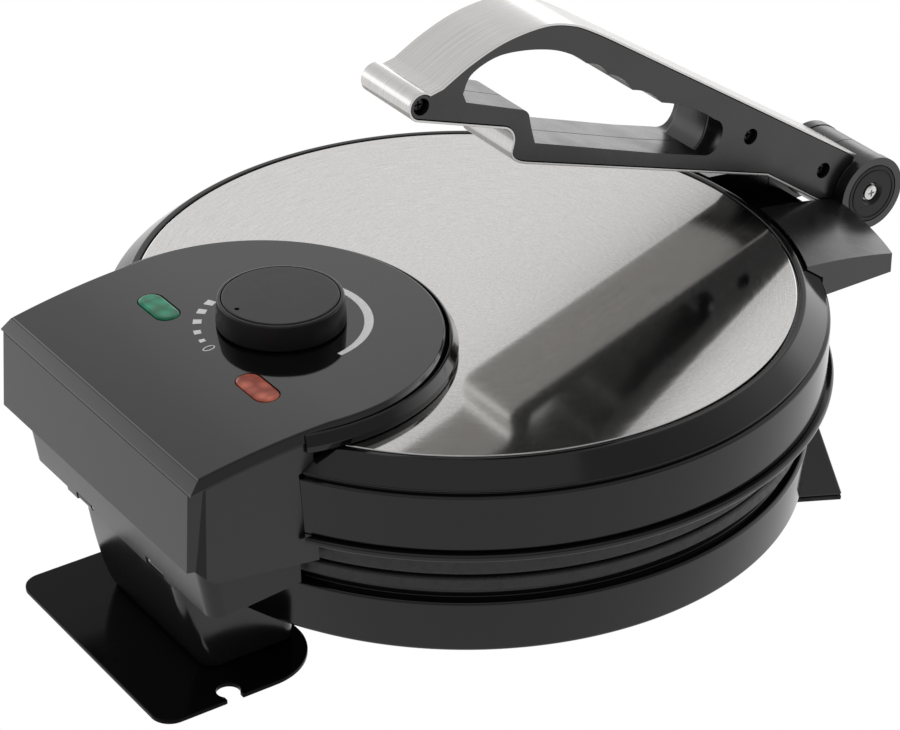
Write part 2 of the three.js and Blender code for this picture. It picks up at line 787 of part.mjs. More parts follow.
function makeRimRing() {
  const inner = plate_radius + fit_gap;
  const tongue = lid_radius - shell_wall - fit_gap;
  const half = panel_front_half_width + box_side_draft + flange_end_gap;
  const box_side = cut(
    block(
      [-half, 0, flange_bottom - cut_overrun],
      [half, flange_radius + cut_overrun, flange_top + fit_gap],
    ),
    disc(lid_radius, 0, lid_wall_bottom, 0, 0, ring_segments),
  );
  let body = turned([
    [inner, flange_bottom],
    [flange_radius - flange_height / 4, flange_bottom],
    [flange_radius, flange_bottom + flange_height / 4],
    [flange_radius, flange_top - flange_height / 4],
    [flange_radius - flange_height / 4, flange_top],
    [tongue, flange_top],
    [tongue, flange_top + rim_tongue_height],
    [inner, flange_top + rim_tongue_height],
  ]);
  body = cut(body, box_side);
  place("lid_rim_ring", body, finishes.gloss_black);
}

function archOutline(radius, rear, front_half_width, rear_half_width) {
  const meet = Math.asin(Math.sqrt(1 - (front_half_width / radius) ** 2));
  const shape = new THREE.Shape();
  shape.moveTo(rear_half_width, rear);
  shape.lineTo(-rear_half_width, rear);
  shape.absarc(0, panel_arch_y, radius, Math.PI - meet, full_turn + meet);
  shape.closePath();
  return shape;
}

function makeCover() {
  let body = disc(cover_radius, cover_top - cover_sheet, cover_top, 0, 0, ring_segments);
  const window_radius = panel_lip_radius - panel_lip_width;
  const opening = archOutline(window_radius, panel_rear_y, window_radius - shell_wall, window_radius);
  body = cut(body, upright(opening, cover_top - cut_overrun, cover_top + cut_overrun, 24));
  place("top_cover", body, finishes.brushed_steel);
}

function makeUpperPlate() {
  const body = plateBody(upper_plate_bottom, upper_rim_top, hanger_bottom - fit_gap);
  place("upper_plate", body, finishes.coated_aluminium);
  const ring_z = upper_plate_bottom + plate_thickness + fit_gap + heater_radius;
  place("upper_heater", heaterBody(ring_z, ring_z + heater_leg), finishes.heater_steel);
  for (const { letter, x, y } of bolts) {
    const head_bottom = hanger_top + fit_gap;
    const screw = join(
      disc(bolt_head_radius, head_bottom, shelf_top, x, y, screw_segments),
      disc(bolt_radius, upper_rim_top, head_bottom + fit_gap, x, y, screw_segments),
    );
    place("upper_plate_bolt_" + letter, screw, finishes.zinc_steel);
  }
}

// The sheet under the lid's shelf that carries the upper plate and the thermostat
function makeHanger() {
  let body = disc(lip_radius - lip_width, hanger_bottom, hanger_top, 0, 0, hidden_segments);
  for (const { x, y } of bolts) {
    body = cut(body, disc(bolt_radius + fit_gap, hanger_bottom - cut_overrun, shelf_top, x, y));
  }
  const half_width = thermostat_width / 2 + fit_gap;
  const half_depth = thermostat_depth / 2 + fit_gap;
  body = cut(body, block(
    [-half_width, knob_y - half_depth, hanger_bottom - cut_overrun],
    [half_width, knob_y + half_depth, hanger_top + cut_overrun],
  ));
  place("upper_heat_shield", body, finishes.zinc_steel);
}

// The crowned panel: flat over the knob and falling away to the rear edge
function panelSide(drop) {
  const fall_start = panel_arch_y;
  const shape = new THREE.Shape();
  shape.moveTo(panel_arch_y - panel_lip_radius - cut_overrun, panel_flat_z - drop);
  shape.lineTo(fall_start, panel_flat_z - drop);
  const middle = (fall_start + panel_rear_y) / 2;
  shape.quadraticCurveTo(middle, panel_flat_z - drop, panel_rear_y, panel_flat_z - panel_rear_drop - drop);
  shape.lineTo(box_rear_y + cut_overrun, panel_flat_z - panel_rear_drop - drop);
  shape.lineTo(box_rear_y + cut_overrun, 0);
  shape.lineTo(panel_arch_y - panel_lip_radius - cut_overrun, 0);
  shape.closePath();
  return across(shape, -panel_lip_radius - cut_overrun, panel_lip_radius + cut_overrun, 8);
}

function panelPlan(inset) {
  return archOutline(
    panel_arch_radius - inset,
    panel_rear_y - inset,
    panel_front_half_width - inset,
    panel_rear_half_width - inset,
  );
}

function stadium(length, width, x, y) {
  const straight = (length - width) / 2;
  const shape = new THREE.Shape();
  shape.absarc(x + straight, y, width / 2, -Math.PI / 2, Math.PI / 2);
  shape.absarc(x - straight, y, width / 2, Math.PI / 2, Math.PI * 3 / 2);
  shape.closePath();
  return shape;
}

function makePanel() {
  let body = upright(panelPlan(0), 0, panel_flat_z + cut_overrun, 24).intersect(panelSide(0));
  body = cut(body, panelSide(panel_edge));
  const half = panel_lip_radius + cut_overrun;
  const bevel_y = panel_rear_y - panel_bevel_width;
  const bevel_foot = panel_flat_z - panel_rear_drop - panel_bevel_drop;
  body = cut(body, across(outline([
    [bevel_y, panelTopAt(bevel_y)],
    [panel_rear_y, bevel_foot],
    [panel_rear_y + cut_overrun, bevel_foot],
    [panel_rear_y + cut_overrun, panel_flat_z],
    [bevel_y, panel_flat_z],
  ]), -half, half));
  const room = upright(panelPlan(panel_sheet), 0, panel_flat_z, 24).intersect(panelSide(panel_sheet));
  body = cut(body, room.intersect(block([-half, 0, 0], [half, bevel_y, panel_flat_z])));
  body = cut(body, disc(shaft_radius + 2 * fit_gap, 0, knob_top, 0, knob_y));
  for (const { sign } of sides) {
    const hole = stadium(lens_length + 2 * fit_gap, lens_width + 2 * fit_gap, sign * lamp_offset_x, lamp_y);
    body = cut(body, upright(hole, 0, knob_top, 6));
  }
  place("control_panel", body, finishes.satin_grey);
}

function makePanelLip() {
  const outer = archOutline(panel_lip_radius, panel_rear_y, panel_front_half_width, panel_rear_half_width);
  const window_radius = panel_lip_radius - panel_lip_width;
  const rear = panel_rear_y + cut_overrun;
  const inner = archOutline(window_radius, rear, window_radius - shell_wall, window_radius);
  const top = panel_lip_bottom + panel_lip_height;
  let body = upright(outer, panel_lip_bottom, top, 24);
  body = cut(body, upright(inner, 0, panel_flat_z, 24));
  body = cut(body, block(
    [-panel_lip_radius - cut_overrun, panel_lip_end_y, 0],
    [panel_lip_radius + cut_overrun, box_rear_y + cut_overrun, panel_flat_z],
  ));
  place("panel_lip", body, finishes.gloss_black);
}

// Upper and lower shells of the control box, open towards the lid's ring
function boxPlan(inset, height) {
  const wall_top = panel_flat_z - panel_rear_drop - panel_bevel_drop;
  const fall = (wall_top - height) / (wall_top - box_rear_bottom);
  const rear = panel_rear_y + box_rear_overhang * fall - inset;
  const wide = panel_front_half_width + box_side_draft * fall - inset;
  const narrow = panel_rear_half_width + box_side_draft * fall - inset;
  const chamfer = box_corner_chamfer;
  const corner = box_corner_width + box_corner_widening * fall;
  return [
    [-wide, panel_lip_end_y + fit_gap],
    [wide, panel_lip_end_y + fit_gap],
    [narrow, rear - chamfer],
    [narrow - corner, rear],
    [-narrow + corner, rear],
    [-narrow, rear - chamfer],
  ];
}

function boxBody(inset) {
  const heights = [base_bottom - inset, panel_flat_z + inset];
  return drafted(heights.map((height) => ({ points: boxPlan(inset, height), height })));
}

function makeUpperBox() {
  let body = boxBody(0).intersect(panelSide(panel_edge + fit_gap));
  const room_half_width = panel_front_half_width - shell_wall + fit_gap;
  const room = block(
    [-room_half_width, 0, 0],
    [room_half_width, panel_lip_end_y + shell_wall, panel_flat_z],
  );
  body = cut(body, boxBody(shell_wall), room, lidEnvelope(lid_radius));
  const below = outline([
    [0, 0],
    [box_rear_y + cut_overrun, 0],
    [box_rear_y + cut_overrun, box_rear_bottom],
    [box_side_step_y + box_corner_chamfer, box_rear_bottom],
    [box_side_step_y, box_side_bottom_rear],
    [panel_arch_y, box_side_bottom_front],
    [0, box_side_bottom_front],
  ]);
  const half = panel_lip_radius + cut_overrun;
  body = cut(body, across(below, -half, half));
  place("control_box_upper_shell", body, finishes.satin_grey);
}

function lowerBoxBody(inset) {
  const levels = [
    [lower_box_bottom - inset, lower_box_rear_y],
    [box_rear_bottom, lower_box_rear_y + lower_box_draft],
    [box_rear_bottom + lower_box_overlap + inset, lower_box_rear_y + lower_box_draft],
  ];
  return drafted(levels.map(([height, rear]) => {
    const plan = roundedOutline(
      lower_box_half_width - inset, panel_arch_y - inset, rear - inset,
      lower_box_corner, lower_box_corner - inset,
    );
    const points = plan.extractPoints(5).shape.map(({ x, y }) => [x, y]);
    return { points, height };
  }));
}

function makeLowerBox() {
  const half = lower_box_half_width + cut_overrun;
  let body = cut(lowerBoxBody(0), lowerBoxBody(shell_wall), lidEnvelope(lid_radius));
  body = cut(body, block(
    [-half, 0, 0],
    [half, panel_arch_y + lower_box_front_room, cover_top],
  ));
  const under = outline([
    [panel_arch_y, 0],
    [box_rear_y, 0],
    [box_rear_y, lower_box_bottom + lower_box_end_rise],
    [lower_box_rear_y, lower_box_bottom + lower_box_end_rise],
    [panel_arch_y, lower_box_bottom + lower_box_front_rise],
  ]);
  body = cut(
    body,
    across(under, -half, -lower_box_skirt_half_width),
    across(under, lower_box_skirt_half_width, half),
  );
  for (const { sign } of sides) {
    const near = sign * (strap_x - strap_sheet / 2 - fit_gap);
    const far = sign * (knuckle_x + knuckle_width / 2 + fit_gap);
    const room = knuckle_radius + knuckle_room;
    body = cut(body, block(
      [Math.min(near, far), hinge_y - room, lower_box_bottom - cut_overrun],
      [Math.max(near, far), lower_box_rear_y + cut_overrun, hinge_z],
    ), rod(room, Math.min(near, far), Math.max(near, far), hinge_y, hinge_z));
  }
  place("control_box_lower_shell", body, finishes.satin_grey);
}

// Knob, thermostat and lamps
function makeKnob() {
  const roof = knob_top - knob_disc_sheet - fit_gap;
  const skirt = knob_radius - knob_wall;
  let body = turned([
    [0, roof],
    [knob_disc_radius + fit_gap, roof],
    [knob_disc_radius + fit_gap, knob_top - fit_gap],
    [knob_radius - knob_draft - fit_gap * 2, knob_top - fit_gap],
    [knob_radius - knob_draft, knob_top - fit_gap * 3],
    [knob_radius, knob_bottom],
    [skirt, knob_bottom],
    [skirt, roof - knob_wall],
    [shaft_radius * 2, roof - knob_wall],
    [shaft_radius * 2, knob_bottom + fit_gap],
    [shaft_radius + fit_gap, knob_bottom + fit_gap],
    [shaft_radius + fit_gap, roof - knob_wall],
    [0, roof - knob_wall],
  ], hidden_segments);
  body = body.translate([0, knob_y, 0]);
  place("knob_body", body, finishes.knob_black);
  const dot_y = knob_y + knob_dot_reach;
  const top_disc = cut(
    disc(knob_disc_radius, roof + fit_gap, knob_top, 0, knob_y, hidden_segments),
    disc(knob_dot_radius, knob_top - knob_disc_sheet / 2, knob_top + cut_overrun, 0, dot_y, screw_segments),
  );
  place("knob_top_disc", top_disc, finishes.knob_black);
  const shaft_bottom = hanger_top - thermostat_height / 2;
  const shaft = disc(shaft_radius, shaft_bottom, roof - knob_wall - fit_gap, 0, knob_y);
  place("thermostat_shaft", shaft, finishes.zinc_steel);
}

function makeThermostat() {
  const half_width = thermostat_width / 2;
  const half_depth = thermostat_depth / 2;
  const top = hanger_top;
  const bottom = top - thermostat_height;
  const shaft_room = top - thermostat_height / 2 - fit_gap;
  const body = cut(
    join(
      block([-half_width, knob_y - half_depth, bottom], [half_width, knob_y + half_depth, top]),
      disc(thermostat_bush_radius, top - fit_gap, panel_roof_bottom - fit_gap, 0, knob_y),
    ),
    disc(shaft_radius + fit_gap, shaft_room, knob_top, 0, knob_y),
  );
  place("thermostat_body", body, finishes.phenolic);
  const plate_width = thermostat_bracket_width;
  const plate_depth = thermostat_bracket_depth;
  const plate_bottom = hanger_top + fit_gap;
  const bracket = cut(
    block(
      [-plate_width / 2, knob_y - plate_depth / 2, plate_bottom],
      [plate_width / 2, knob_y + plate_depth / 2, plate_bottom + shield_sheet],
    ),
    disc(thermostat_bush_radius + fit_gap, 0, knob_top, 0, knob_y),
  );
  place("thermostat_bracket", bracket, finishes.zinc_steel);
}

function panelTopAt(y) {
  const share = Math.max(0, (y - panel_arch_y) / (panel_rear_y - panel_arch_y));
  return panel_flat_z - panel_rear_drop * share ** 2;
}

function makeLamps() {
  const surface = panelTopAt(lamp_y);
  const under = panelTopAt(lamp_y + lens_width) - panel_sheet - fit_gap;
  const foot = surface - lens_depth;
  const lamp_z = foot + lamp_radius + fit_gap;
  const lamps = [
    { name: "green", sign: 1, look: finishes.green_lens },
    { name: "red", sign: -1, look: finishes.red_lens },
  ];
  for (const { name, sign, look } of lamps) {
    const x = sign * lamp_offset_x;
    const wide = stadium(lens_length + 2 * lens_flange, lens_width + 2 * lens_flange, x, lamp_y);
    let lens = join(
      upright(stadium(lens_length, lens_width, x, lamp_y), foot, surface + lens_proud, 6),
      upright(wide, under - lens_flange, under, 6),
    );
    const left = x - lamp_length / 2;
    const right = x + lamp_length / 2;
    const room = lamp_radius + fit_gap;
    lens = cut(
      lens,
      rod(room, left - fit_gap, right + fit_gap, lamp_y, lamp_z),
      block(
        [left - fit_gap, lamp_y - room, foot - cut_overrun],
        [right + fit_gap, lamp_y + room, lamp_z],
      ),
    );
    place(name + "_lens", lens, look);
    place(name + "_lamp", rod(lamp_radius, left, right, lamp_y, lamp_z), finishes.clear_glass);
  }
}

// Front bracket: a domed block on the lid's front with two ears round the handle's axle
// The dome's top falls with the distance from the lid's axis, so it is turned, not extruded
function bracketDome() {
  const crown_r = (bracket_inner_radius + bracket_outer_radius) / 2;
  const crown_z = (bracket_inner_top + bracket_outer_top) / 2 + bracket_crown;
  const top = new THREE.QuadraticBezierCurve(
    new THREE.Vector2(bracket_inner_radius, bracket_inner_top),
    new THREE.Vector2(crown_r, crown_z),
    new THREE.Vector2(bracket_outer_radius, bracket_outer_top),
  );
  const edge = top.getPoints(6).map((p) => [p.x, p.y]);
  return turned([
    ...edge,
    [bracket_outer_radius, bracket_skirt_bottom],
    [bracket_inner_radius, bracket_skirt_bottom],
  ]);
}

function makeBracket() {
  const front = -bracket_outer_radius - barrel_radius;
  let body = bracketDome().intersect(block(
    [-bracket_half_width, front, bracket_skirt_bottom - cut_overrun],
    [bracket_half_width, 0, cover_top],
  ));
  const keel_front = pivot_y + barrel_radius;
  const room = handle_half_width + 2 * fit_gap;
  const channel = block([-room, front, bracket_floor_top], [room, 0, cover_top + cut_overrun]);
  const keel = block(
    [-bracket_keel_half_width, keel_front, bracket_floor_bottom],
    [bracket_keel_half_width, -bracket_inner_radius, bracket_skirt_bottom + cut_overrun],
  );
  body = cut(join(body, keel), channel);
  body = cut(body, rod(barrel_radius + 2 * fit_gap, -room, room, pivot_y, pivot_z));
  for (const { sign } of sides) {
    const near = Math.min(sign * ear_inner_x, sign * ear_outer_x);
    const far = Math.max(sign * ear_inner_x, sign * ear_outer_x);
    const neck = block(
      [near, pivot_y, bracket_floor_bottom + cut_overrun],
      [far, keel_front + barrel_radius / 2, pivot_z],
    );
    body = join(body, rod(barrel_radius, near, far, pivot_y, pivot_z, hidden_segments), neck);
    const face = sign * ear_outer_x;
    const recess_low = Math.min(face - sign * (cap_height + fit_gap), face + sign * cut_overrun);
    const recess_high = Math.max(face - sign * (cap_height + fit_gap), face + sign * cut_overrun);
    body = cut(body, rod(cap_radius + fit_gap, recess_low, recess_high, pivot_y, pivot_z, hidden_segments));
  }
  body = cut(body, rod(axle_radius + fit_gap, -ear_outer_x, ear_outer_x, pivot_y, pivot_z));
  body = cut(body, lidEnvelope());
  for (const { side, sign } of sides) {
    const x = sign * bracket_screw_x;
    const head_edge_x = bracket_screw_x - bracket_screw_head_radius;
    const wall_y = -Math.sqrt((lid_radius - shell_wall) ** 2 - head_edge_x ** 2);
    const head_front = wall_y + bracket_screw_head_radius + fit_gap;
    const head_rear = head_front + bracket_screw_head;
    const tip = head_front - bracket_screw_length;
    const bore = bracket_screw_radius + fit_gap;
    body = cut(body, rodAlongDepth(bore, tip - 2 * fit_gap, 0, x, bracket_screw_z));
    const screw = join(
      rodAlongDepth(bracket_screw_head_radius, head_front, head_rear, x, bracket_screw_z),
      rodAlongDepth(bracket_screw_radius, tip, head_front + fit_gap, x, bracket_screw_z),
    );
    place("bracket_screw_" + side, screw, finishes.zinc_steel);
  }
  place("front_bracket", body, finishes.gloss_black);
}

function makeAxle() {
  const end = ear_outer_x - cap_height - fit_gap;
  let axle = rod(axle_radius, -end, end, pivot_y, pivot_z);
  for (const { side, sign } of sides) {
    const cap_low = Math.min(sign * (end + fit_gap), sign * ear_outer_x);
    const cap_high = Math.max(sign * (end + fit_gap), sign * ear_outer_x);
    const cap = cut(
      rod(cap_radius, cap_low, cap_high, pivot_y, pivot_z, hidden_segments),
      rod(cap_bore_radius, cap_low - cut_overrun, cap_high + cut_overrun, pivot_y, pivot_z),
    );
    place("axle_cap_" + side, cap, finishes.satin_grey);
    const head = end + fit_gap + axle_screw_height;
    const tail = end - axle_radius * 2;
    const span = (from, to) => [Math.min(sign * from, sign * to), Math.max(sign * from, sign * to)];
    const bore = span(tail - fit_gap, end + cut_overrun);
    axle = cut(axle, rod(side_screw_shank + fit_gap, ...bore, pivot_y, pivot_z));
    const screw = join(
      rod(axle_screw_radius, ...span(end + fit_gap, head), pivot_y, pivot_z),
      rod(side_screw_shank, ...span(tail, end + 2 * fit_gap), pivot_y, pivot_z, screw_segments),
    );
    place("axle_screw_" + side, screw, finishes.brushed_steel);
  }
  place("handle_axle", axle, finishes.zinc_steel);
}

// Handle outline, as shares of the reach from axle to tip: the outer face of the steel band
const band_top_shares = [[0.05, 0.057], [0.509, 0.137]];
const band_crest_shares = [
  [0.509, 0.137], [0.64, 0.16], [0.718, 0.1725], [0.768, 0.1755], [0.821, 0.165],
  [0.885, 0.13], [0.936, 0.084], [0.975, 0.036],
];
const tip_radius_share = 0.0245;
const band_step_shares = [[0.825, -0.01], [0.8, -0.012], [0.799, -0.042], [0.796, -0.062], [0.762, -0.06]];
const band_under_shares = [[0.388, -0.0225], [0.237, -0.0085], [0.05, -0.046]];
const loop_shares = {
  nose: [[0.93, 0.032], [0.927, 0.065]],
  crest: [[0.892, 0.099], [0.843, 0.118], [0.788, 0.128], [0.743, 0.1265], [0.71, 0.118]],
  grips: [[0.659, 0.108], [0.597, 0.0905], [0.5256, 0.0795], [0.405, 0.0705]],
  heel: [[0.4, 0.069], [0.37, 0.037], [0.402, 0.005], [0.487, -0.004]],
  step: [[0.755, -0.024], [0.775, 0], [0.787, 0.019], [0.807, 0.025], [0.918, 0.02]],
};
const grip_hollow_share = 0.012;
const core_shares = {
  body: [[0.402, -0.006], [0.335, 0.006], [0.335, 0.054], [0.398, 0.078]],
  hollow: [[0.385, 0.05], [0.38, 0.02]],
};
const side_screw_shares = [[1, 0], [0.306, 0.052], [0.111, 0.018]];
const atReach = ([a, b]) => new THREE.Vector2(a * handle_reach, b * handle_reach);

function bandPath() {
  const path = new THREE.Path();
  path.moveTo(...atReach(band_top_shares[0]).toArray());
  path.lineTo(...atReach(band_top_shares[1]).toArray());
  path.splineThru(band_crest_shares.slice(1).map(atReach));
  path.absarc(handle_reach, 0, tip_radius_share * handle_reach, Math.PI * 0.6, -Math.PI / 2, true);
  const [before, hold, foot, turn, after] = band_step_shares.map(atReach);
  path.lineTo(before.x, before.y);
  path.quadraticCurveTo(hold.x, hold.y, foot.x, foot.y);
  path.quadraticCurveTo(turn.x, turn.y, after.x, after.y);
  band_under_shares.map(atReach).forEach((point) => path.lineTo(point.x, point.y));
  const points = path.getPoints(5);
  return points.filter((point, k) => k === 0 || point.distanceTo(points[k - 1]) > fit_gap);
}

// The same path moved to its right-hand side, which is the inside of the handle
function shifted(points, distance) {
  return points.map((point, k) => {
    const before = points[Math.max(k - 1, 0)];
    const after = points[Math.min(k + 1, points.length - 1)];
    const into = point.clone().sub(before).normalize();
    const out = after.clone().sub(point).normalize();
    const along = into.clone().add(out).normalize();
    const stretch = Math.max(along.dot(k === 0 ? out : into), 1 / 2);
    const step = distance / stretch;
    return new THREE.Vector2(point.x + along.y * step, point.y - along.x * step);
  });
}

function loopOutline() {
  const shape = new THREE.Shape();
  const [start, nose_top] = loop_shares.nose.map(atReach);
  shape.moveTo(start.x, start.y);
  shape.lineTo(nose_top.x, nose_top.y);
  shape.splineThru(loop_shares.crest.map(atReach));
  let from = atReach(loop_shares.crest.at(-1));
  for (const to of loop_shares.grips.map(atReach)) {
    const middle = from.clone().add(to).multiplyScalar(1 / 2);
    shape.quadraticCurveTo(middle.x, middle.y + grip_hollow_share * handle_reach, to.x, to.y);
    from = to;
  }
  const [heel_top, heel, heel_foot, beam] = loop_shares.heel.map(atReach);
  shape.lineTo(heel_top.x, heel_top.y);
  shape.quadraticCurveTo(heel.x, heel_top.y, heel.x, heel.y);
  shape.quadraticCurveTo(heel.x, heel_foot.y, heel_foot.x, heel_foot.y);
  shape.lineTo(beam.x, beam.y);
  const [low, rise, knee, shoulder, flat] = loop_shares.step.map(atReach);
  shape.lineTo(low.x, low.y);
  shape.quadraticCurveTo(rise.x, rise.y, knee.x, knee.y);
  shape.lineTo(shoulder.x, shoulder.y);
  shape.lineTo(flat.x, flat.y);
  shape.closePath();
  return shape;
}

function coreOutline(grow) {
  const points = core_shares.body.map(atReach);
  const total = points.reduce((sum, p) => sum.add(p), new THREE.Vector2());
  const middle = total.multiplyScalar(1 / points.length);
  const moved = points.map((p) => {
    const away = p.clone().sub(middle).normalize();
    return p.clone().addScaledVector(away, grow * Math.SQRT2);
  });
  const [upper, lower] = core_shares.hollow.map(atReach);
  const shape = new THREE.Shape(moved);
  shape.bezierCurveTo(upper.x + grow, upper.y, lower.x + grow, lower.y, moved[0].x, moved[0].y);
  return shape;
}

function makeHandle() {
  const path = bandPath();
  const band_outline = [...path, ...shifted(path, band_sheet).reverse()];
  const frame_outline = shifted(path, band_sheet + fit_gap);
  const knuckle = barrel_radius - fit_gap;
  let band = across(new THREE.Shape(band_outline), -handle_half_width, handle_half_width);
  band = cut(band, rod(knuckle + fit_gap, -ear_inner_x, ear_inner_x, 0, 0, hidden_segments));
  place("handle_steel_band", band, finishes.brushed_steel, handle);
  const core = across(coreOutline(0), -core_half_width, core_half_width);
  place("handle_core", core, finishes.gloss_black, handle);
  const core_room = across(coreOutline(fit_gap), -core_half_width - fit_gap, core_half_width + fit_gap);
  const loop = across(loopOutline(), -handle_half_width, handle_half_width, 4);
  const bore = rod(axle_radius + fit_gap, -ear_inner_x, ear_inner_x, 0, 0);
  for (const { side, sign } of sides) {
    const face = sign * (handle_half_width - band_inset);
    const seam = sign * fit_gap / 2;
    const span = [Math.min(face, seam), Math.max(face, seam)];
    const hub = [Math.min(sign * handle_half_width, seam), Math.max(sign * handle_half_width, seam)];
    let frame = across(new THREE.Shape(frame_outline), ...span);
    frame = join(frame, rod(knuckle, ...hub, 0, 0, hidden_segments));
    frame = cut(frame, loop, bore, core_room);
    for (const [y, z] of side_screw_shares.map((share) => atReach(share).toArray())) {
      const bore = [-handle_half_width, handle_half_width / 2];
      frame = cut(frame, rod(side_screw_shank + fit_gap, ...bore, y, z, screw_segments));
      const recess_floor = -handle_half_width + side_screw_recess + side_screw_radius;
      frame = cut(frame, rod(side_screw_recess, -handle_half_width - cut_overrun, recess_floor, y, z));
    }
    place("handle_frame_" + side, frame, finishes.gloss_black, handle);
  }
  side_screw_shares.forEach((share, k) => {
    const [y, z] = atReach(share).toArray();
    const head_inner = -handle_half_width + side_screw_recess + side_screw_radius - fit_gap;
    const screw = join(
      rod(side_screw_radius, head_inner - side_screw_radius, head_inner, y, z, screw_segments),
      rod(side_screw_shank, head_inner - fit_gap, handle_half_width / 2 - fit_gap, y, z, screw_segments),
    );
    place("handle_screw_" + "abc"[k], screw, finishes.zinc_steel, handle);
  });
  handle.position.set(0, pivot_y, pivot_z);
  handle.rotation.x = handle_rest_angle;
  object.add(handle);
}

makeBaseHousing();
makeFloorCover();
makeLowerShield();
makeLowerPlate();
makeLowerHeater();
makePedestal();
makeHinge();
makeFootPlate();
makeFrontFeet();
makeWiring();
makeLidHousing();
makeRimRing();
makeCover();
makeUpperPlate();
makeHanger();
makePanel();
makePanelLip();
makeUpperBox();
makeLowerBox();
makeKnob();
makeThermostat();
makeLamps();
makeBracket();
makeAxle();
makeHandle();

// The origin is under the middle of the object, on the table
object.updateMatrixWorld(true);
const extent = new THREE.Box3().setFromObject(object, true);
object.position.set(-(extent.min.x + extent.max.x) / 2, -(extent.min.y + extent.max.y) / 2, -extent.min.z);

export default object;
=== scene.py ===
import json
import math

import bmesh
import bpy
from mathutils import Matrix, Vector


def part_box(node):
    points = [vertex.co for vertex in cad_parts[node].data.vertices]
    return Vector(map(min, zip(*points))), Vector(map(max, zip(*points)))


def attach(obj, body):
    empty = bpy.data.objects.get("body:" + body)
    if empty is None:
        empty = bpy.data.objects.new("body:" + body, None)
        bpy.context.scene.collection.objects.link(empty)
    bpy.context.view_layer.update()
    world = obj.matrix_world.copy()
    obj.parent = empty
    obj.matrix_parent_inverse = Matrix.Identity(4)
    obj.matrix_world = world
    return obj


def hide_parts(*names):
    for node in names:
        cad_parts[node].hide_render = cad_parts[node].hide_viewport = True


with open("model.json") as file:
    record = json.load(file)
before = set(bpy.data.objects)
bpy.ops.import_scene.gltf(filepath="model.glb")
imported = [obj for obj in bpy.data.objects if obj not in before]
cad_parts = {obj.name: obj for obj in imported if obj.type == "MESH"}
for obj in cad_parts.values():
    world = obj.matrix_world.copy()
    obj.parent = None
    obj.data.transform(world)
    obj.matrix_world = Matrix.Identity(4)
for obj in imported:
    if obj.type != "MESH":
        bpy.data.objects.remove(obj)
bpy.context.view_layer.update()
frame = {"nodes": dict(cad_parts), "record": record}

MM = 0.001
ring_low, ring_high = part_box("lid_housing")
CENTRE_Y = (ring_low.y + ring_high.y) / 2
SHARP = 32
ON_AXIS = 1e-6


def spot(x, y, z):
    """Millimetres from the middle of the plates, at table height, as metres in the row frame."""
    return Vector((x * MM, y * MM + CENTRE_Y, z * MM))


# Meshes
def shade(mesh, angle=SHARP):
    mesh.shade_smooth()
    mesh.set_sharp_from_angle(angle=math.radians(angle))


def solid(name, verts, faces):
    mesh = bpy.data.meshes.new(name)
    mesh.from_pydata([spot(*v) for v in verts], [], faces)
    return settled(name, mesh)


def settled(name, mesh, merge=0.0005):
    bm = bmesh.new()
    bm.from_mesh(mesh)
    bmesh.ops.remove_doubles(bm, verts=bm.verts, dist=merge * MM)
    bmesh.ops.recalc_face_normals(bm, faces=bm.faces)
    bm.to_mesh(mesh)
    bm.free()
    obj = bpy.data.objects.new(name, mesh)
    bpy.context.scene.collection.objects.link(obj)
    return obj


def evaluated(obj):
    """Replaces the object's mesh by what its modifiers make of it."""
    graph = bpy.context.evaluated_depsgraph_get()
    mesh = bpy.data.meshes.new_from_object(obj.evaluated_get(graph))
    old = obj.data
    obj.modifiers.clear()
    obj.data = mesh
    mesh.name = obj.name
    bpy.data.meshes.remove(old)


def boolean(obj, other, operation="DIFFERENCE"):
    step = obj.modifiers.new("cut", "BOOLEAN")
    step.operation = operation
    step.solver = "EXACT"
    step.object = other
    evaluated(obj)
    bpy.data.objects.remove(other)
    return obj


def bevelled(obj, width, segments=3, angle=30):
    bm = bmesh.new()
    bm.from_mesh(obj.data)
    bmesh.ops.remove_doubles(bm, verts=bm.verts, dist=0.001 * MM)
    bmesh.ops.dissolve_limit(bm, angle_limit=math.radians(0.5), verts=bm.verts, edges=bm.edges)
    bm.to_mesh(obj.data)
    bm.free()
    step = obj.modifiers.new("edge", "BEVEL")
    step.width = width * MM
    step.segments = segments
    step.limit_method = "ANGLE"
    step.angle_limit = math.radians(angle)
    step.miter_outer = "MITER_ARC"
    evaluated(obj)
    return obj


def piece(obj, body, look, *nodes, angle=SHARP, slot=None):
    shade(obj.data, angle)
    obj.data.materials.clear()
    obj.data.materials.append(look)
    step = obj.modifiers.new("flats", "WEIGHTED_NORMAL")
    step.keep_sharp = True
    evaluated(obj)
    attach(obj, body)
    if nodes:
        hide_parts(*nodes)
    return obj


def rounded(points, steps=5):
    """A closed outline of (a, b) or (a, b, radius) with each corner turned on its radius."""
    out = []
    for i, p in enumerate(points):
        corner = Vector(p[:2])
        radius = p[2] if len(p) > 2 else 0
        if radius == 0:
            out.append(tuple(corner))
            continue
        a = Vector(points[i - 1][:2]) - corner
        b = Vector(points[(i + 1) % len(points)][:2]) - corner
        half = a.angle(b) / 2
        run = min(radius / math.tan(half), a.length * 0.49, b.length * 0.49)
        radius = run * math.tan(half)
        a.normalize()
        b.normalize()
        centre = corner + (a + b).normalized() * (radius / math.sin(half))
        start = corner + a * run - centre
        stop = corner + b * run - centre
        turn = start.angle_signed(stop)
        for k in range(steps + 1):
            arm = start.copy()
            arm.rotate(Matrix.Rotation(-turn * k / steps, 2))
            out.append(tuple(centre + arm))
    return out


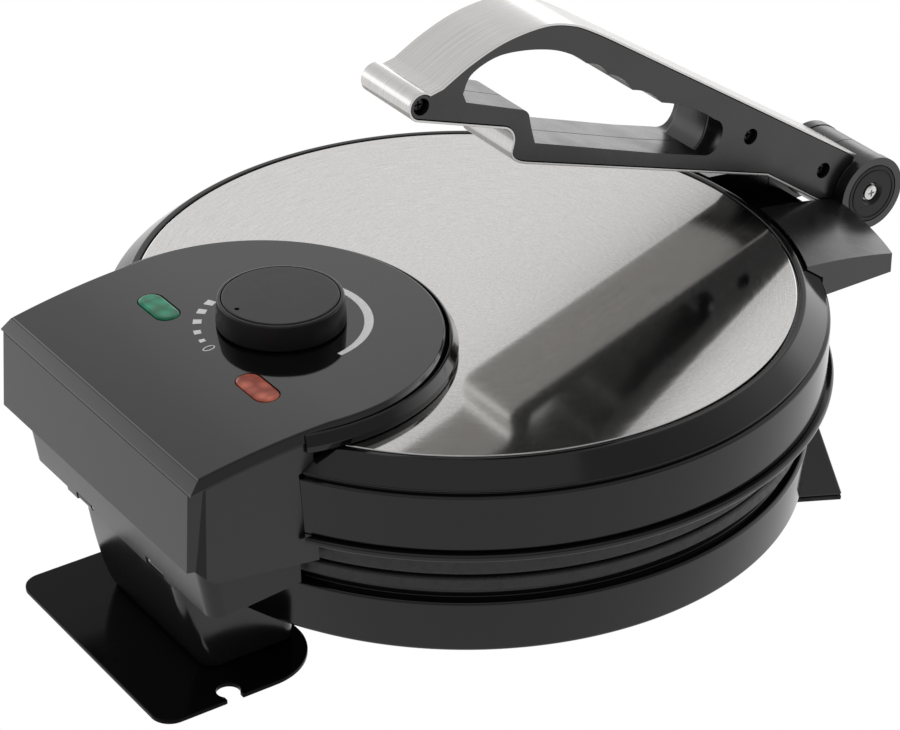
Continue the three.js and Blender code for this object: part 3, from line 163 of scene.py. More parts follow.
def revolved(name, profile, segments, place):
    """A closed profile of (radius, height) turned about an axis, whose points place() sets."""
    count = len(profile)
    verts = []
    for j in range(segments):
        angle = math.tau * j / segments
        c, s = math.cos(angle), math.sin(angle)
        verts += [place(r * c, r * s, h) for r, h in profile]
    faces = []
    for j in range(segments):
        here, there = j * count, (j + 1) % segments * count
        for i in range(count):
            k = (i + 1) % count
            if profile[i][0] < ON_AXIS and profile[k][0] < ON_AXIS:
                continue
            faces.append((here + i, there + i, there + k, here + k))
    return solid(name, verts, faces)


def lathe(name, profile, segments=240, x=0, y=0):
    """A profile of (radius, height) turned about a vertical axis."""
    return revolved(name, profile, segments, lambda a, b, h: (x + a, y + b, h))


def lathe_x(name, profile, y, z, segments=96):
    """A profile of (radius, x) turned about an axis across the object."""
    return revolved(name, profile, segments, lambda a, b, h: (h, y + a, z + b))


def rod_x(name, radius, low, high, y, z, segments):
    """A plain rod across the object."""
    return lathe_x(name, [(0, low), (radius, low), (radius, high), (0, high)], y, z, segments)


def disc_z(name, radius, low, high, segments, x=0, y=0):
    """A plain upright disc."""
    return lathe(name, [(0, low), (radius, low), (radius, high), (0, high)], segments, x, y)


def wall_faces(starts, count):
    """Quads between rings of points, given where each ring starts."""
    faces = []
    for low, high in zip(starts, starts[1:]):
        for i in range(count):
            k = (i + 1) % count
            faces.append((low + i, low + k, high + k, high + i))
    return faces


def bar_faces(pairs):
    """The four sides of bars that run from one group of four points to the next."""
    faces = []
    for p, q in pairs:
        for i, j in ((0, 2), (2, 3), (3, 1), (1, 0)):
            faces.append((p + i, p + j, q + j, q + i))
    return faces


def prism(name, outline, low, high, axis="Z"):
    """An outline drawn in (x, y) and raised, or in (y, z) and drawn across."""
    count = len(outline)
    if axis == "Z":
        verts = [(a, b, h) for h in (low, high) for a, b in outline]
    else:
        verts = [(h, a, b) for h in (low, high) for a, b in outline]
    faces = [tuple(range(count)), tuple(range(count, 2 * count))]
    faces += [(i, (i + 1) % count, count + (i + 1) % count, count + i) for i in range(count)]
    return solid(name, verts, faces)


def box(name, low, high):
    outline = [(low[0], low[1]), (high[0], low[1]), (high[0], high[1]), (low[0], high[1])]
    return prism(name, outline, low[2], high[2])


def dressed(name, node, width, segments=3, angle=30):
    """A copy of a CAD node with its edges broken."""
    mesh = frame["nodes"][node].data.copy()
    mesh.name = name
    obj = settled(name, mesh, 0.01)
    return bevelled(obj, width, segments, angle)


def arc(cx, cy, radius, start, stop, steps):
    """Points from one angle to another, in degrees."""
    span = [math.radians(start + (stop - start) * k / steps) for k in range(steps + 1)]
    return [(cx + radius * math.cos(a), cy + radius * math.sin(a)) for a in span]


def stadium(length, width, x, y, steps=16):
    straight = (length - width) / 2
    right = arc(x + straight, y, width / 2, -90, 90, steps)
    return right + arc(x - straight, y, width / 2, 90, 270, steps)


# Materials
class Look:
    def __init__(self, name, colour, roughness, metallic=0.0, specular=0.5):
        self.material = bpy.data.materials.new(name)
        self.material.use_nodes = True
        self.tree = self.material.node_tree
        self.shader = self.tree.nodes["Principled BSDF"]
        self.set("Base Color", (*colour, 1))
        self.set("Roughness", roughness)
        self.set("Metallic", metallic)
        self.set("Specular IOR Level", specular)
        self.coords = self.tree.nodes.new("ShaderNodeTexCoord").outputs["Object"]

    def set(self, socket, value):
        self.shader.inputs[socket].default_value = value

    def link(self, a, b):
        self.tree.links.new(a, b)

    def stretch(self, scale):
        node = self.tree.nodes.new("ShaderNodeMapping")
        node.inputs["Scale"].default_value = scale
        self.link(self.coords, node.inputs["Vector"])
        return node.outputs["Vector"]

    def noise(self, scale, detail=3.0, vector=None):
        node = self.tree.nodes.new("ShaderNodeTexNoise")
        node.inputs["Scale"].default_value = scale
        node.inputs["Detail"].default_value = detail
        self.link(vector or self.coords, node.inputs["Vector"])
        return node.outputs["Fac"]

    def between(self, factor, low, high, start=0.3, stop=0.7):
        node = self.tree.nodes.new("ShaderNodeMapRange")
        node.inputs["From Min"].default_value = start
        node.inputs["From Max"].default_value = stop
        node.inputs["To Min"].default_value = low
        node.inputs["To Max"].default_value = high
        self.link(factor, node.inputs["Value"])
        return node.outputs["Result"]

    def rough(self, factor, low, high):
        self.link(self.between(factor, low, high), self.shader.inputs["Roughness"])

    def tint(self, factor, first, second, start=0.3, stop=0.7):
        node = self.tree.nodes.new("ShaderNodeValToRGB")
        node.color_ramp.elements[0].position = start
        node.color_ramp.elements[0].color = (*first, 1)
        node.color_ramp.elements[1].position = stop
        node.color_ramp.elements[1].color = (*second, 1)
        self.link(factor, node.inputs["Fac"])
        self.link(node.outputs["Color"], self.shader.inputs["Base Color"])

    def bump(self, height, strength, distance):
        node = self.tree.nodes.new("ShaderNodeBump")
        node.inputs["Strength"].default_value = strength
        node.inputs["Distance"].default_value = distance * MM
        self.link(height, node.inputs["Height"])
        if self.shader.inputs["Normal"].is_linked:
            self.link(self.shader.inputs["Normal"].links[0].from_socket, node.inputs["Normal"])
        self.link(node.outputs["Normal"], self.shader.inputs["Normal"])

    def math(self, operation, a, b=None):
        node = self.tree.nodes.new("ShaderNodeMath")
        node.operation = operation
        for socket, value in zip(node.inputs, (a, b)):
            if value is None:
                continue
            if isinstance(value, (int, float)):
                socket.default_value = value
            else:
                self.link(value, socket)
        return node.outputs[0]


def gloss_plastic(name, colour, roughness, specular=0.5):
    look = Look(name, colour, roughness, specular=specular)
    brighter = tuple(c * 1.25 for c in colour)
    look.tint(look.noise(9.0), colour, brighter)
    look.rough(look.noise(60.0, 5.0), roughness * 0.85, roughness * 1.3)
    look.bump(look.noise(160.0, 2.0), 0.05, 0.05)
    return look.material


def satin_plastic(name, colour, roughness, grain, specular=0.5):
    look = Look(name, colour, roughness, specular=specular)
    brighter = tuple(c * 1.15 for c in colour)
    look.tint(look.noise(14.0), colour, brighter)
    look.rough(look.noise(220.0, 4.0), roughness * 0.92, roughness * 1.12)
    look.bump(look.noise(2600.0, 2.0), grain, 0.03)
    return look.material


def circular_steel(name):
    """Steel brushed in rings about the middle of the plates."""
    look = Look(name, (0.62, 0.61, 0.6), 0.24, 1.0)
    nodes = look.tree.nodes
    apart = nodes.new("ShaderNodeSeparateXYZ")
    look.link(look.coords, apart.inputs[0])
    across = apart.outputs["X"]
    along = look.math("SUBTRACT", apart.outputs["Y"], CENTRE_Y)
    square = look.math("ADD", look.math("MULTIPLY", across, across), look.math("MULTIPLY", along, along))
    radius = look.math("SQRT", square)
    angle = look.math("ARCTAN2", along, across)
    polar = nodes.new("ShaderNodeCombineXYZ")
    look.link(look.math("MULTIPLY", radius, 2600.0), polar.inputs["X"])
    look.link(look.math("MULTIPLY", angle, 9.0), polar.inputs["Y"])
    streaks = look.noise(1.0, 4.0, polar.outputs[0])
    speck = look.noise(900.0, 3.0)
    grain = look.math("ADD", look.math("MULTIPLY", streaks, 0.6), look.math("MULTIPLY", speck, 0.4))
    look.tint(grain, (0.5, 0.49, 0.48), (0.7, 0.69, 0.68))
    look.rough(streaks, 0.07, 0.1)
    look.bump(streaks, 0.03, 0.02)
    turn = nodes.new("ShaderNodeCombineXYZ")
    look.link(look.math("MULTIPLY", along, -1.0), turn.inputs["X"])
    look.link(across, turn.inputs["Y"])
    look.link(turn.outputs[0], look.shader.inputs["Tangent"])
    look.set("Anisotropic", 0.25)
    return look.material


def straight_steel(name, scale, colour=(0.66, 0.65, 0.64), roughness=0.22):
    """Steel brushed along one direction: the scale is small along the brushing."""
    look = Look(name, colour, roughness, 1.0)
    streaks = look.noise(1.0, 4.0, look.stretch(scale))
    darker = tuple(c * 0.82 for c in colour)
    look.tint(streaks, darker, colour)
    look.rough(streaks, roughness * 0.8, roughness * 1.25)
    look.bump(streaks, 0.15, 0.02)
    return look.material


def cast_coating(name):
    look = Look(name, (0.01, 0.01, 0.0105), 0.5, specular=0.4)
    pebble = look.noise(1500.0, 3.0)
    look.tint(pebble, (0.006, 0.006, 0.0065), (0.018, 0.018, 0.0185))
    look.rough(look.noise(300.0), 0.38, 0.55)
    look.bump(pebble, 0.55, 0.12)
    return look.material


def dull_metal(name, colour, roughness):
    look = Look(name, colour, roughness, 1.0)
    mottle = look.noise(240.0, 4.0)
    darker = tuple(c * 0.8 for c in colour)
    look.tint(mottle, darker, colour)
    look.rough(mottle, roughness * 0.85, roughness * 1.2)
    look.bump(look.noise(1200.0), 0.08, 0.02)
    return look.material


def lens(name, dark, light):
    look = Look(name, light, 0.35, specular=0.3)
    facets = look.tree.nodes.new("ShaderNodeTexVoronoi")
    facets.inputs["Scale"].default_value = 210.0
    look.link(look.coords, facets.inputs["Vector"])
    look.tint(facets.outputs["Distance"], light, dark, 0.05, 0.75)
    look.bump(facets.outputs["Distance"], 0.35, 0.25)
    look.set("Transmission Weight", 0.15)
    return look.material


def clear_glass(name):
    look = Look(name, (0.9, 0.92, 0.92), 0.05)
    look.set("Transmission Weight", 0.9)
    look.rough(look.noise(90.0), 0.04, 0.09)
    return look.material


def print_ink(name):
    look = Look(name, (0.78, 0.78, 0.78), 0.45)
    look.tint(look.noise(800.0), (0.72, 0.72, 0.72), (0.82, 0.82, 0.82))
    look.bump(look.noise(2000.0), 0.1, 0.02)
    return look.material


looks = {
    "gloss": gloss_plastic("gloss_black", (0.003, 0.003, 0.0032), 0.1, 0.35),
    "pedestal": gloss_plastic("pedestal_black", (0.01, 0.01, 0.0102), 0.16, 0.42),
    "handle": gloss_plastic("handle_black", (0.006, 0.006, 0.0062), 0.25, 0.7),
    "bracket": gloss_plastic("bracket_black", (0.008, 0.008, 0.0084), 0.24, 0.7),
    "panel": satin_plastic("satin_grey", (0.003, 0.003, 0.003), 0.07, 0.02, 0.62),
    "box": satin_plastic("box_grey", (0.006, 0.006, 0.0063), 0.2, 0.03, 0.47),
    # a darker, less glossy copy of the box grey for the lower shell: painted shade
    "box_low": satin_plastic("lower_box_painted_shade", (0.005, 0.005, 0.0053), 0.2, 0.03, 0.38),
    # a darker, less glossy copy of the box grey for the rear corner strips: painted shade
    "corner_painted_shade": satin_plastic("corner_painted_shade_grey", (0.005, 0.005, 0.0053), 0.2, 0.03, 0.24),
    "knob": satin_plastic("knob_black", (0.004, 0.004, 0.0042), 0.35, 0.12, 0.3),
    "cover": circular_steel("cover_steel"),
    "band": straight_steel("band_steel", (2400.0, 24.0, 24.0)),
    "zinc": dull_metal("zinc_steel", (0.5, 0.51, 0.52), 0.34),
    "sheath": dull_metal("heater_steel", (0.24, 0.21, 0.19), 0.5),
    "enamel": gloss_plastic("black_enamel", (0.003, 0.003, 0.0033), 0.14, 0.06),
    "coating": cast_coating("plate_coating"),
    "rubber": satin_plastic("rubber_black", (0.014, 0.014, 0.014), 0.75, 0.3),
    "phenolic": satin_plastic("phenolic_brown", (0.07, 0.045, 0.035), 0.6, 0.25),
    "green": lens("green_lens", (0.0, 0.16, 0.07), (0.0, 0.38, 0.2)),
    "red": lens("red_lens", (0.33, 0.06, 0.035), (0.75, 0.19, 0.12)),
    "glass": clear_glass("lamp_glass"),
    "ink": print_ink("dial_print"),
    "screw": dull_metal("screw_steel", (0.72, 0.72, 0.71), 0.2),
    "dark_screw": dull_metal("screw_black", (0.05, 0.05, 0.052), 0.35),
}
node_looks = {
    "gloss_black": "gloss",
    "satin_grey": "box",
    "knob_black": "knob",
    "brushed_steel": "band",
    "zinc_steel": "zinc",
    "black_steel": "enamel",
    "coated_aluminium": "coating",
    "heater_steel": "sheath",
    "rubber": "rubber",
    "phenolic": "phenolic",
    "green_lens": "green",
    "red_lens": "red",
    "clear_glass": "glass",
}
for part in frame["record"]["subparts"]:
    node = frame["nodes"][part["node"]]
    node.data.materials.clear()
    node.data.materials.append(looks[node_looks[part["material_slot"]]])
    shade(node.data)

# Round parts
GAP = 0.3
SHELL = 2.6
COVER_R, COVER_TOP, COVER_SHEET = 125.0, 105.4, 0.8
COVER_WINDOW_R = 67.2
LIP_R, SHELF_R = 128.25, 108
LID_R, BEVEL_R, BEVEL_Z = 138.0, 137.2, 97.9
WALL_BOTTOM = 74.3
FLANGE_R, FLANGE_DEPTH, TONGUE_RISE = 140.5, 2.9, 5
BOX_ROOM_HALF, BOX_ROOM_REACH = 74.7, 150
PLATE_R, PLATE_Z = 131.0, 59.1
ROUND_STEPS = 300


def cover():
    side_y = math.sqrt(COVER_R**2 - COVER_WINDOW_R**2)
    start = math.degrees(math.atan2(side_y, COVER_WINDOW_R))
    rim = arc(0, 0, COVER_R, start, start - 360 + 2 * (90 - start), ROUND_STEPS)
    arch = arc(0, ARCH_Y, COVER_WINDOW_R, 180, 360, 96)
    obj = prism("steel_cover", rim + arch, COVER_TOP - COVER_SHEET, COVER_TOP)
    bevelled(obj, 0.35, 2)
    piece(obj, "lid", looks["cover"], "top_cover", angle=8, slot="brushed_steel")


def lid_ring():
    shelf_top = COVER_TOP - COVER_SHEET - GAP
    inner = LID_R - SHELL
    profile = rounded(
        [
            (LIP_R - 2.3, COVER_TOP, 0.5),
            (LIP_R, COVER_TOP, 1.2),
            (BEVEL_R, BEVEL_Z, 1.0),
            (BEVEL_R - 1.8, BEVEL_Z - 0.95, 0.3),
            (LID_R, BEVEL_Z - 1.9, 0.6),
            (LID_R, WALL_BOTTOM, 0.5),
            (inner, WALL_BOTTOM),
            (inner, BEVEL_Z - 4.5),
            (LIP_R - 1.15, shelf_top - SHELL),
            (SHELF_R, shelf_top - SHELL),
            (SHELF_R, shelf_top),
            (LIP_R - 2.3, shelf_top),
        ]
    )
    obj = lathe("lid_ring", profile, ROUND_STEPS)
    piece(obj, "lid", looks["gloss"], "lid_housing", slot="gloss_black")


def rim_ring():
    top = WALL_BOTTOM - GAP
    inner, tongue = PLATE_R + GAP, LID_R - SHELL - GAP
    profile = rounded(
        [
            (inner, top - FLANGE_DEPTH, 0.4),
            (FLANGE_R, top - FLANGE_DEPTH, 1.1),
            (FLANGE_R, top, 1.1),
            (tongue, top),
            (tongue, top + TONGUE_RISE),
            (inner, top + TONGUE_RISE),
        ]
    )
    obj = lathe("lid_flange", profile, ROUND_STEPS)
    end_room = box("end_room", (-BOX_ROOM_HALF, 0, top - 4), (BOX_ROOM_HALF, BOX_ROOM_REACH, top + 0.2))
    boolean(end_room, disc_z("core", LID_R, top - 6, top + 3, 240))
    boolean(obj, end_room)
    piece(obj, "lid", looks["gloss"], "lid_rim_ring", slot="gloss_black")


def plates():
    low_top = PLATE_Z - GAP / 2
    high_bottom = PLATE_Z + GAP / 2
    for name, face, rim, body, node in (
        ("lower_plate_cast", low_top, low_top - 5.7, "base", "lower_plate"),
        ("upper_plate_cast", high_bottom, high_bottom + 12.6, "lid", "upper_plate"),
    ):
        inward = math.copysign(1, rim - face)
        back = face + inward * 5
        edge = [
            (0, face),
            (PLATE_R - 6.5, face, 1.5),
            (PLATE_R - 5.2, face + inward * 0.25, 0.8),
            (PLATE_R, face + inward * 0.25, 1.4),
            (PLATE_R, rim, 0.5),
            (PLATE_R - 4, rim, 0.5),
            (PLATE_R - 4, back, 0.8),
            (0, back),
        ]
        obj = lathe(name, rounded(edge), ROUND_STEPS)
        piece(obj, body, looks["coating"], node, slot="coated_aluminium")


def base_ring():
    bottom, rim, seat = 27.3, 48.9, 52.9
    foot_r, rim_r, seat_r, inner_r, floor_r = 131.2, 132.5, 128.4, 125.4, 113.4
    profile = rounded(
        [
            (foot_r, bottom, 1.6),
            (rim_r, rim, 1.4),
            (seat_r, rim, 0.4),
            (seat_r, seat),
            (inner_r, seat),
            (inner_r, bottom + SHELL),
            (floor_r, bottom + SHELL),
            (floor_r, bottom, 0.6),
        ]
    )
    obj = lathe("base_ring", profile, ROUND_STEPS)
    piece(obj, "base", looks["gloss"], "base_housing", slot="gloss_black")


# Panel and control box
ARCH_Y, ARCH_R = 94.0, 71.8
REAR_Y, REAR_HALF, FRONT_HALF = 160.5, 69.6, 71.0
FLAT_Z, REAR_DROP = 113.8, 6.8
KNOB_Y, KNOB_TOP, KNOB_R = 81.3, 124.7, 24.0
LAMP_X, LAMP_Y = 35.0, 112.6
LENS_LENGTH, LENS_WIDTH = 21, 9.4
POCKET_LENGTH, POCKET_WIDTH = 21.9, 10.3


def panel_z(y):
    share = max(0.0, (y - ARCH_Y) / (REAR_Y - ARCH_Y))
    return FLAT_Z - REAR_DROP * share**2


def arch_side(radius, rear, front_half, rear_half, arch_steps=72, side_steps=24):
    """The right-hand side of the panel's plan, from its front tip to its rear corner."""
    meet = math.degrees(math.acos(front_half / radius))
    points = arc(0, ARCH_Y, radius, -90, meet, arch_steps)
    last = points[-1]
    for k in range(1, side_steps + 1):
        share = k / side_steps
        points.append((last[0] + (rear_half - last[0]) * share, last[1] + (rear - last[1]) * share))
    return points


def mirrored(side):
    return side + [(-x, y) for x, y in reversed(side[1:])]


def panel():
    """The panel as rings of (inset, inset at the rear, height under the top)."""
    levels = (
        (0.0, 0.0, -4.0),
        (0.0, 0.0, -3.75),
        (0.2, 0.3, -3.4),
        (1.5, 3.7, -0.5),
        (1.75, 4.15, -0.5),
        (2.0, 4.4, -0.05),
        (2.2, 4.6, 0.0),
    )
    verts, faces = [], []
    rings = []
    for inset, rear_inset, drop in levels:
        side = arch_side(ARCH_R - inset, REAR_Y - rear_inset, FRONT_HALF - inset, REAR_HALF - inset)
        rings.append(len(verts))
        verts += [(x, y, panel_z(y) + drop) for x, y in mirrored(side)]
        half = len(side)
    count = 2 * half - 1
    faces += wall_faces(rings, count)
    for start in (rings[0], rings[-1]):
        for i in range(half - 1):
            left, left_next = start + (count - i) % count, start + count - i - 1
            right, right_next = start + i, start + i + 1
            quad = (left, right, right_next, left_next)
            faces.append(tuple(dict.fromkeys(quad)))
    obj = solid("panel_top", verts, faces)
    for sign in (-1, 1):
        hole = stadium(POCKET_LENGTH, POCKET_WIDTH, sign * LAMP_X, LAMP_Y)
        boolean(obj, prism("hole", hole, FLAT_Z - 3.4, FLAT_Z + 2))
    piece(obj, "lid", looks["panel"], "control_panel", angle=10, slot="satin_grey")


def panel_lip():
    """A moulding round the arch: a foot on the cover and a shoulder up to the panel's edge."""
    bottom = COVER_TOP + GAP
    radius, foot_width, sheet = 75.2, 8, 2.4
    profile = rounded(
        [
            (radius - foot_width, bottom, 0.4),
            (radius, bottom, 0.5),
            (radius, bottom + 2.6, 1.2),
            (radius - 2.1, bottom + 6.3, 1.4),
            (radius - 3.1, bottom + 6.5, 0.3),
            (radius - 3.1, bottom + sheet),
            (radius - foot_width, bottom + sheet, 0.6),
        ]
    )
    start, steps = 16.5, 160
    count = len(profile)
    verts, faces = [], []
    for a, b in arc(0, 0, 1, start, -180 - start, steps):
        verts += [(r * a, ARCH_Y + r * b, z) for r, z in profile]
    for j in range(steps):
        for i in range(count):
            k = (i + 1) % count
            here, there = j * count, (j + 1) * count
            faces.append((here + i, there + i, there + k, here + k))
    faces += [tuple(range(count)), tuple(range(steps * count, (steps + 1) * count))]
    obj = solid("arch_lip", verts, faces)
    piece(obj, "lid", looks["gloss"], "panel_lip", angle=40, slot="gloss_black")


def control_box():
    upper = dressed("box_upper", "control_box_upper_shell", 0.5, 3, 20)
    piece(upper, "lid", looks["box"], "control_box_upper_shell", slot="satin_grey")
    # The strips down the two rear corners face between the rear and a side; they get a darker, less
    # glossy copy of the box grey, painted shade
    upper.data.materials.append(looks["corner_painted_shade"])
    corner_y = spot(0, REAR_Y - 14, 0).y
    for polygon in upper.data.polygons:
        x, y, z = polygon.normal
        if y > 0 and 0.4 < abs(x) < 0.92 and abs(z) < 0.3 and polygon.center.y > corner_y:
            polygon.material_index = 1
    # the lower shell takes the darker copy of the box grey, painted shade
    lower = dressed("box_lower", "control_box_lower_shell", 0.8, 3, 40)
    piece(lower, "lid", looks["box_low"], "control_box_lower_shell", slot="satin_grey")


def knob():
    bottom, recess = FLAT_Z + 0.6, KNOB_TOP - 2.5
    face_r, bore_r, skirt_r = 21.6, 21.8, 21.9
    dot_r, dot_y = 0.95, KNOB_Y + 18.4
    profile = rounded(
        [
            (0, recess),
            (skirt_r, recess),
            (skirt_r, KNOB_TOP - 0.2, 0.3),
            (KNOB_R - 0.7, KNOB_TOP - 0.3, 0.7),
            (KNOB_R, bottom, 0.6),
            (bore_r, bottom),
            (bore_r, KNOB_TOP - 4),
            (0, KNOB_TOP - 4),
        ]
    )
    ring = lathe("knob_skirt", profile, 200, 0, KNOB_Y)
    piece(ring, "knob", looks["knob"], "knob_body", slot="knob_black")
    face_bottom = recess + GAP
    face = rounded([(0, face_bottom), (face_r, face_bottom), (face_r, KNOB_TOP, 0.6), (0, KNOB_TOP)])
    disc = lathe("knob_face", face, 200, 0, KNOB_Y)
    dot = disc_z("dot", dot_r, KNOB_TOP - 0.7, KNOB_TOP + 1, 32, 0, dot_y)
    boolean(disc, dot)
    piece(disc, "knob", looks["knob"], "knob_top_disc", slot="knob_black")
    low, high, inner, outer = FLAT_Z + 0.05, FLAT_Z + 4, 12, 19.5
    collar = rounded([(inner, low), (outer, low), (outer, high), (inner, high)])
    piece(lathe("knob_collar", collar, 120, 0, KNOB_Y), "knob", looks["knob"], slot="knob_black")


def lamps():
    """Each lens as rings of (inset, height over the panel)."""
    levels = ((0.0, -8.0), (0.0, 0.0), (0.45, 0.38), (1.2, 0.5))
    steps = 16
    count = 2 * (steps + 1)
    top = panel_z(LAMP_Y)
    starts = [count * level for level in range(len(levels))]
    for name, sign in (("green", 1), ("red", -1)):
        verts = []
        for inset, rise in levels:
            length, width = LENS_LENGTH - 2 * inset, LENS_WIDTH - 2 * inset
            ring = stadium(length, width, sign * LAMP_X, LAMP_Y, steps)
            verts += [(x, y, top + rise) for x, y in ring]
        faces = wall_faces(starts, count)
        faces += [tuple(range(start, start + count)) for start in (starts[0], starts[-1])]
        obj = solid(name + "_lens_cap", verts, faces)
        piece(obj, "lid", looks[name], name + "_lens", slot=name + "_lens")


def dial():
    """Marks round the knob: a ring for nought, growing blocks, then a band that swells and thins."""
    lift, depth = 0.06, 0.2

    def strip(name, angles, inner, outer):
        verts = []
        for a, r0, r1 in zip(angles, inner, outer):
            c, s = math.cos(math.radians(a)), math.sin(math.radians(a))
            for r in (r0, r1):
                x, y = r * c, KNOB_Y + r * s
                verts += [(x, y, panel_z(y) + lift), (x, y, panel_z(y) - depth)]
        faces = bar_faces([(4 * k, 4 * k + 4) for k in range(len(angles) - 1)])
        end = 4 * (len(angles) - 1)
        faces += [(0, 2, 3, 1), (end, end + 2, end + 3, end + 1)]
        return solid(name, verts, faces)

    # Angle, middle radius, half height and half turn of each block
    blocks = ((81.4, 31.0, 1.1, 1.9), (69.6, 31.0, 1.35, 2.5), (55.7, 30.7, 1.6, 2.9),
              (41.9, 30.4, 1.7, 3.1), (29.0, 30.1, 1.8, 3.3))
    for k, (angle, middle, half, turn) in enumerate(blocks):
        span = [angle + turn * t for t in (1, 0.5, 0, -0.5, -1)]
        obj = strip("dial_block_" + "abcde"[k], span, [middle - half] * 5, [middle + half] * 5)
        piece(obj, "lid", looks["ink"], slot="brushed_steel")
    steps, crest = 60, 0.72
    shares = [k / steps for k in range(steps + 1)]
    angles = [13 - 185 * t for t in shares]
    middle = [30.2 + 2.4 * t for t in shares]
    half = [
        0.3 + 1.4 * math.sin(math.pi / 2 * t / crest) if t < crest
        else 1.7 - 0.7 * ((t - crest) / (1 - crest)) ** 1.5
        for t in shares
    ]
    inner = [m - h for m, h in zip(middle, half)]
    outer = [m + h for m, h in zip(middle, half)]
    piece(strip("dial_band", angles, inner, outer), "lid", looks["ink"], slot="brushed_steel")
    a, place_r = math.radians(92.4), 31.4
    c, s = math.cos(a), math.sin(a)
    cx, cy = place_r * c, KNOB_Y + place_r * s
    verts = []
    zero = arc(0, 0, 1, 0, 360, 40)[:-1]
    for x, y in zero:
        for rx, ry in ((1.5, 2.5), (1.05, 2.05)):
            px = cx + x * rx * s + y * ry * c
            py = cy - x * rx * c + y * ry * s
            verts += [(px, py, panel_z(py) + lift), (px, py, panel_z(py) - depth)]
    count = len(zero)
    faces = bar_faces([(4 * k, 4 * ((k + 1) % count)) for k in range(count)])
    piece(solid("dial_nought", verts, faces), "lid", looks["ink"], slot="brushed_steel")


# Pedestal and feet
HINGE_Y, HINGE_Z = 149.4, 47.5
KNUCKLE_X, KNUCKLE_HALF, KNUCKLE_R, PIN_ROOM_R = 27, 5, 3, 1.8
PAN_ROOM_R, PAN_ROOM_BOTTOM = 132.9, 27
PLATE_HALF, PLATE_FRONT, PLATE_REAR, PLATE_SHEET = 55.3, 97, 168.8, 2
NOTCH_X, NOTCH_Y, NOTCH_R, NECK_HALF = -55.3 + 5.2, 138.4, 4.4, 3.2


def pedestal():
    """A column whose rear face leans in towards the foot, with the two knuckles on its top."""
    top, foot, half, front = 43.7, 2.3, 36.0, 100.0
    foot_y, waist_y, corner, steps = 138.9, 144.9, 6.0, 20
    verts = []
    for k in range(steps + 1):
        t = k / steps
        y = (1 - t) ** 2 * foot_y + 2 * t * (1 - t) * waist_y + t**2 * HINGE_Y
        z = (1 - t) ** 2 * foot + 2 * t * (1 - t) * top / 4 + t**2 * top
        plan = [(-half, front, corner), (half, front, corner), (half, y, corner), (-half, y, corner)]
        ring = rounded(plan, 8)
        verts += [(a, b, z) for a, b in ring]
    count = len(ring)
    faces = wall_faces([k * count for k in range(steps + 1)], count)
    faces += [tuple(range(count)), tuple(range(steps * count, (steps + 1) * count))]
    body = bevelled(solid("pedestal", verts, faces), 0.7, 3, 50)
    boolean(body, disc_z("pan_room", PAN_ROOM_R, PAN_ROOM_BOTTOM, 60, 240))
    piece(body, "base", looks["pedestal"], "rear_pedestal", slot="gloss_black")
    for name, sign in (("left", -1), ("right", 1)):
        low, high = sign * KNUCKLE_X - KNUCKLE_HALF, sign * KNUCKLE_X + KNUCKLE_HALF
        web = box("web_" + name, (low, HINGE_Y - 2 * KNUCKLE_R, top - 1), (high, HINGE_Y, HINGE_Z))
        piece(bevelled(web, 0.4, 2), "base", looks["gloss"], slot="gloss_black")
        eye = [(PIN_ROOM_R, low), (KNUCKLE_R, low, 0.3), (KNUCKLE_R, high, 0.3), (PIN_ROOM_R, high)]
        eye = rounded(eye)
        eye = lathe_x("knuckle_" + name, eye, HINGE_Y, HINGE_Z)
        piece(eye, "base", looks["gloss"], slot="gloss_black")


def supports():
    front_corner, rear_corner = 24, 8
    outline = rounded(
        [
            (-PLATE_HALF, PLATE_FRONT, front_corner),
            (PLATE_HALF, PLATE_FRONT, front_corner),
            (PLATE_HALF, PLATE_REAR, rear_corner),
            (-PLATE_HALF, PLATE_REAR, rear_corner),
        ],
        24,
    )
    obj = prism("foot_sheet", outline, 0, PLATE_SHEET)
    below, above = -3, 5
    boolean(obj, disc_z("throat", NOTCH_R, below, above, 48, NOTCH_X, NOTCH_Y))
    neck = box("neck", (-60, NOTCH_Y - NECK_HALF, below), (NOTCH_X, NOTCH_Y + NECK_HALF, above))
    boolean(obj, neck)
    bevelled(obj, 0.55, 3, 40)
    piece(obj, "base", looks["enamel"], "foot_plate", slot="black_steel")
    for side in ("left", "right"):
        foot = dressed("foot_" + side, "front_foot_" + side, 1.0, 3, 30)
        piece(foot, "base", looks["gloss"], "front_foot_" + side, slot="gloss_black")
        pad = dressed("foot_pad_" + side, "front_foot_pad_" + side, 0.5, 2, 30)
        piece(pad, "base", looks["rubber"], "front_foot_pad_" + side, slot="rubber")
        strap = dressed("strap_" + side, "hinge_strap_" + side, 0.3, 2, 30)
        piece(strap, "lid", looks["zinc"], "hinge_strap_" + side, slot="zinc_steel")
    gland = dressed("gland", "cord_gland", 0.4, 2, 40)
    piece(gland, "base", looks["rubber"], "cord_gland", slot="rubber")


# Handle
PIVOT_Y, PIVOT_Z = -184.5, 97.4
REST = math.radians(23.86)
REACH = 234.0
HALF = 15.8
BARREL_R = 15.5
CUT_REACH = 20
BAND = 0.9


def reach(point):
    return Vector((point[0] * REACH, point[1] * REACH))


def swung(points):
    c, s = math.cos(REST), math.sin(REST)
    return [(PIVOT_Y + p[0] * c - p[1] * s, PIVOT_Z + p[0] * s + p[1] * c) for p in points]


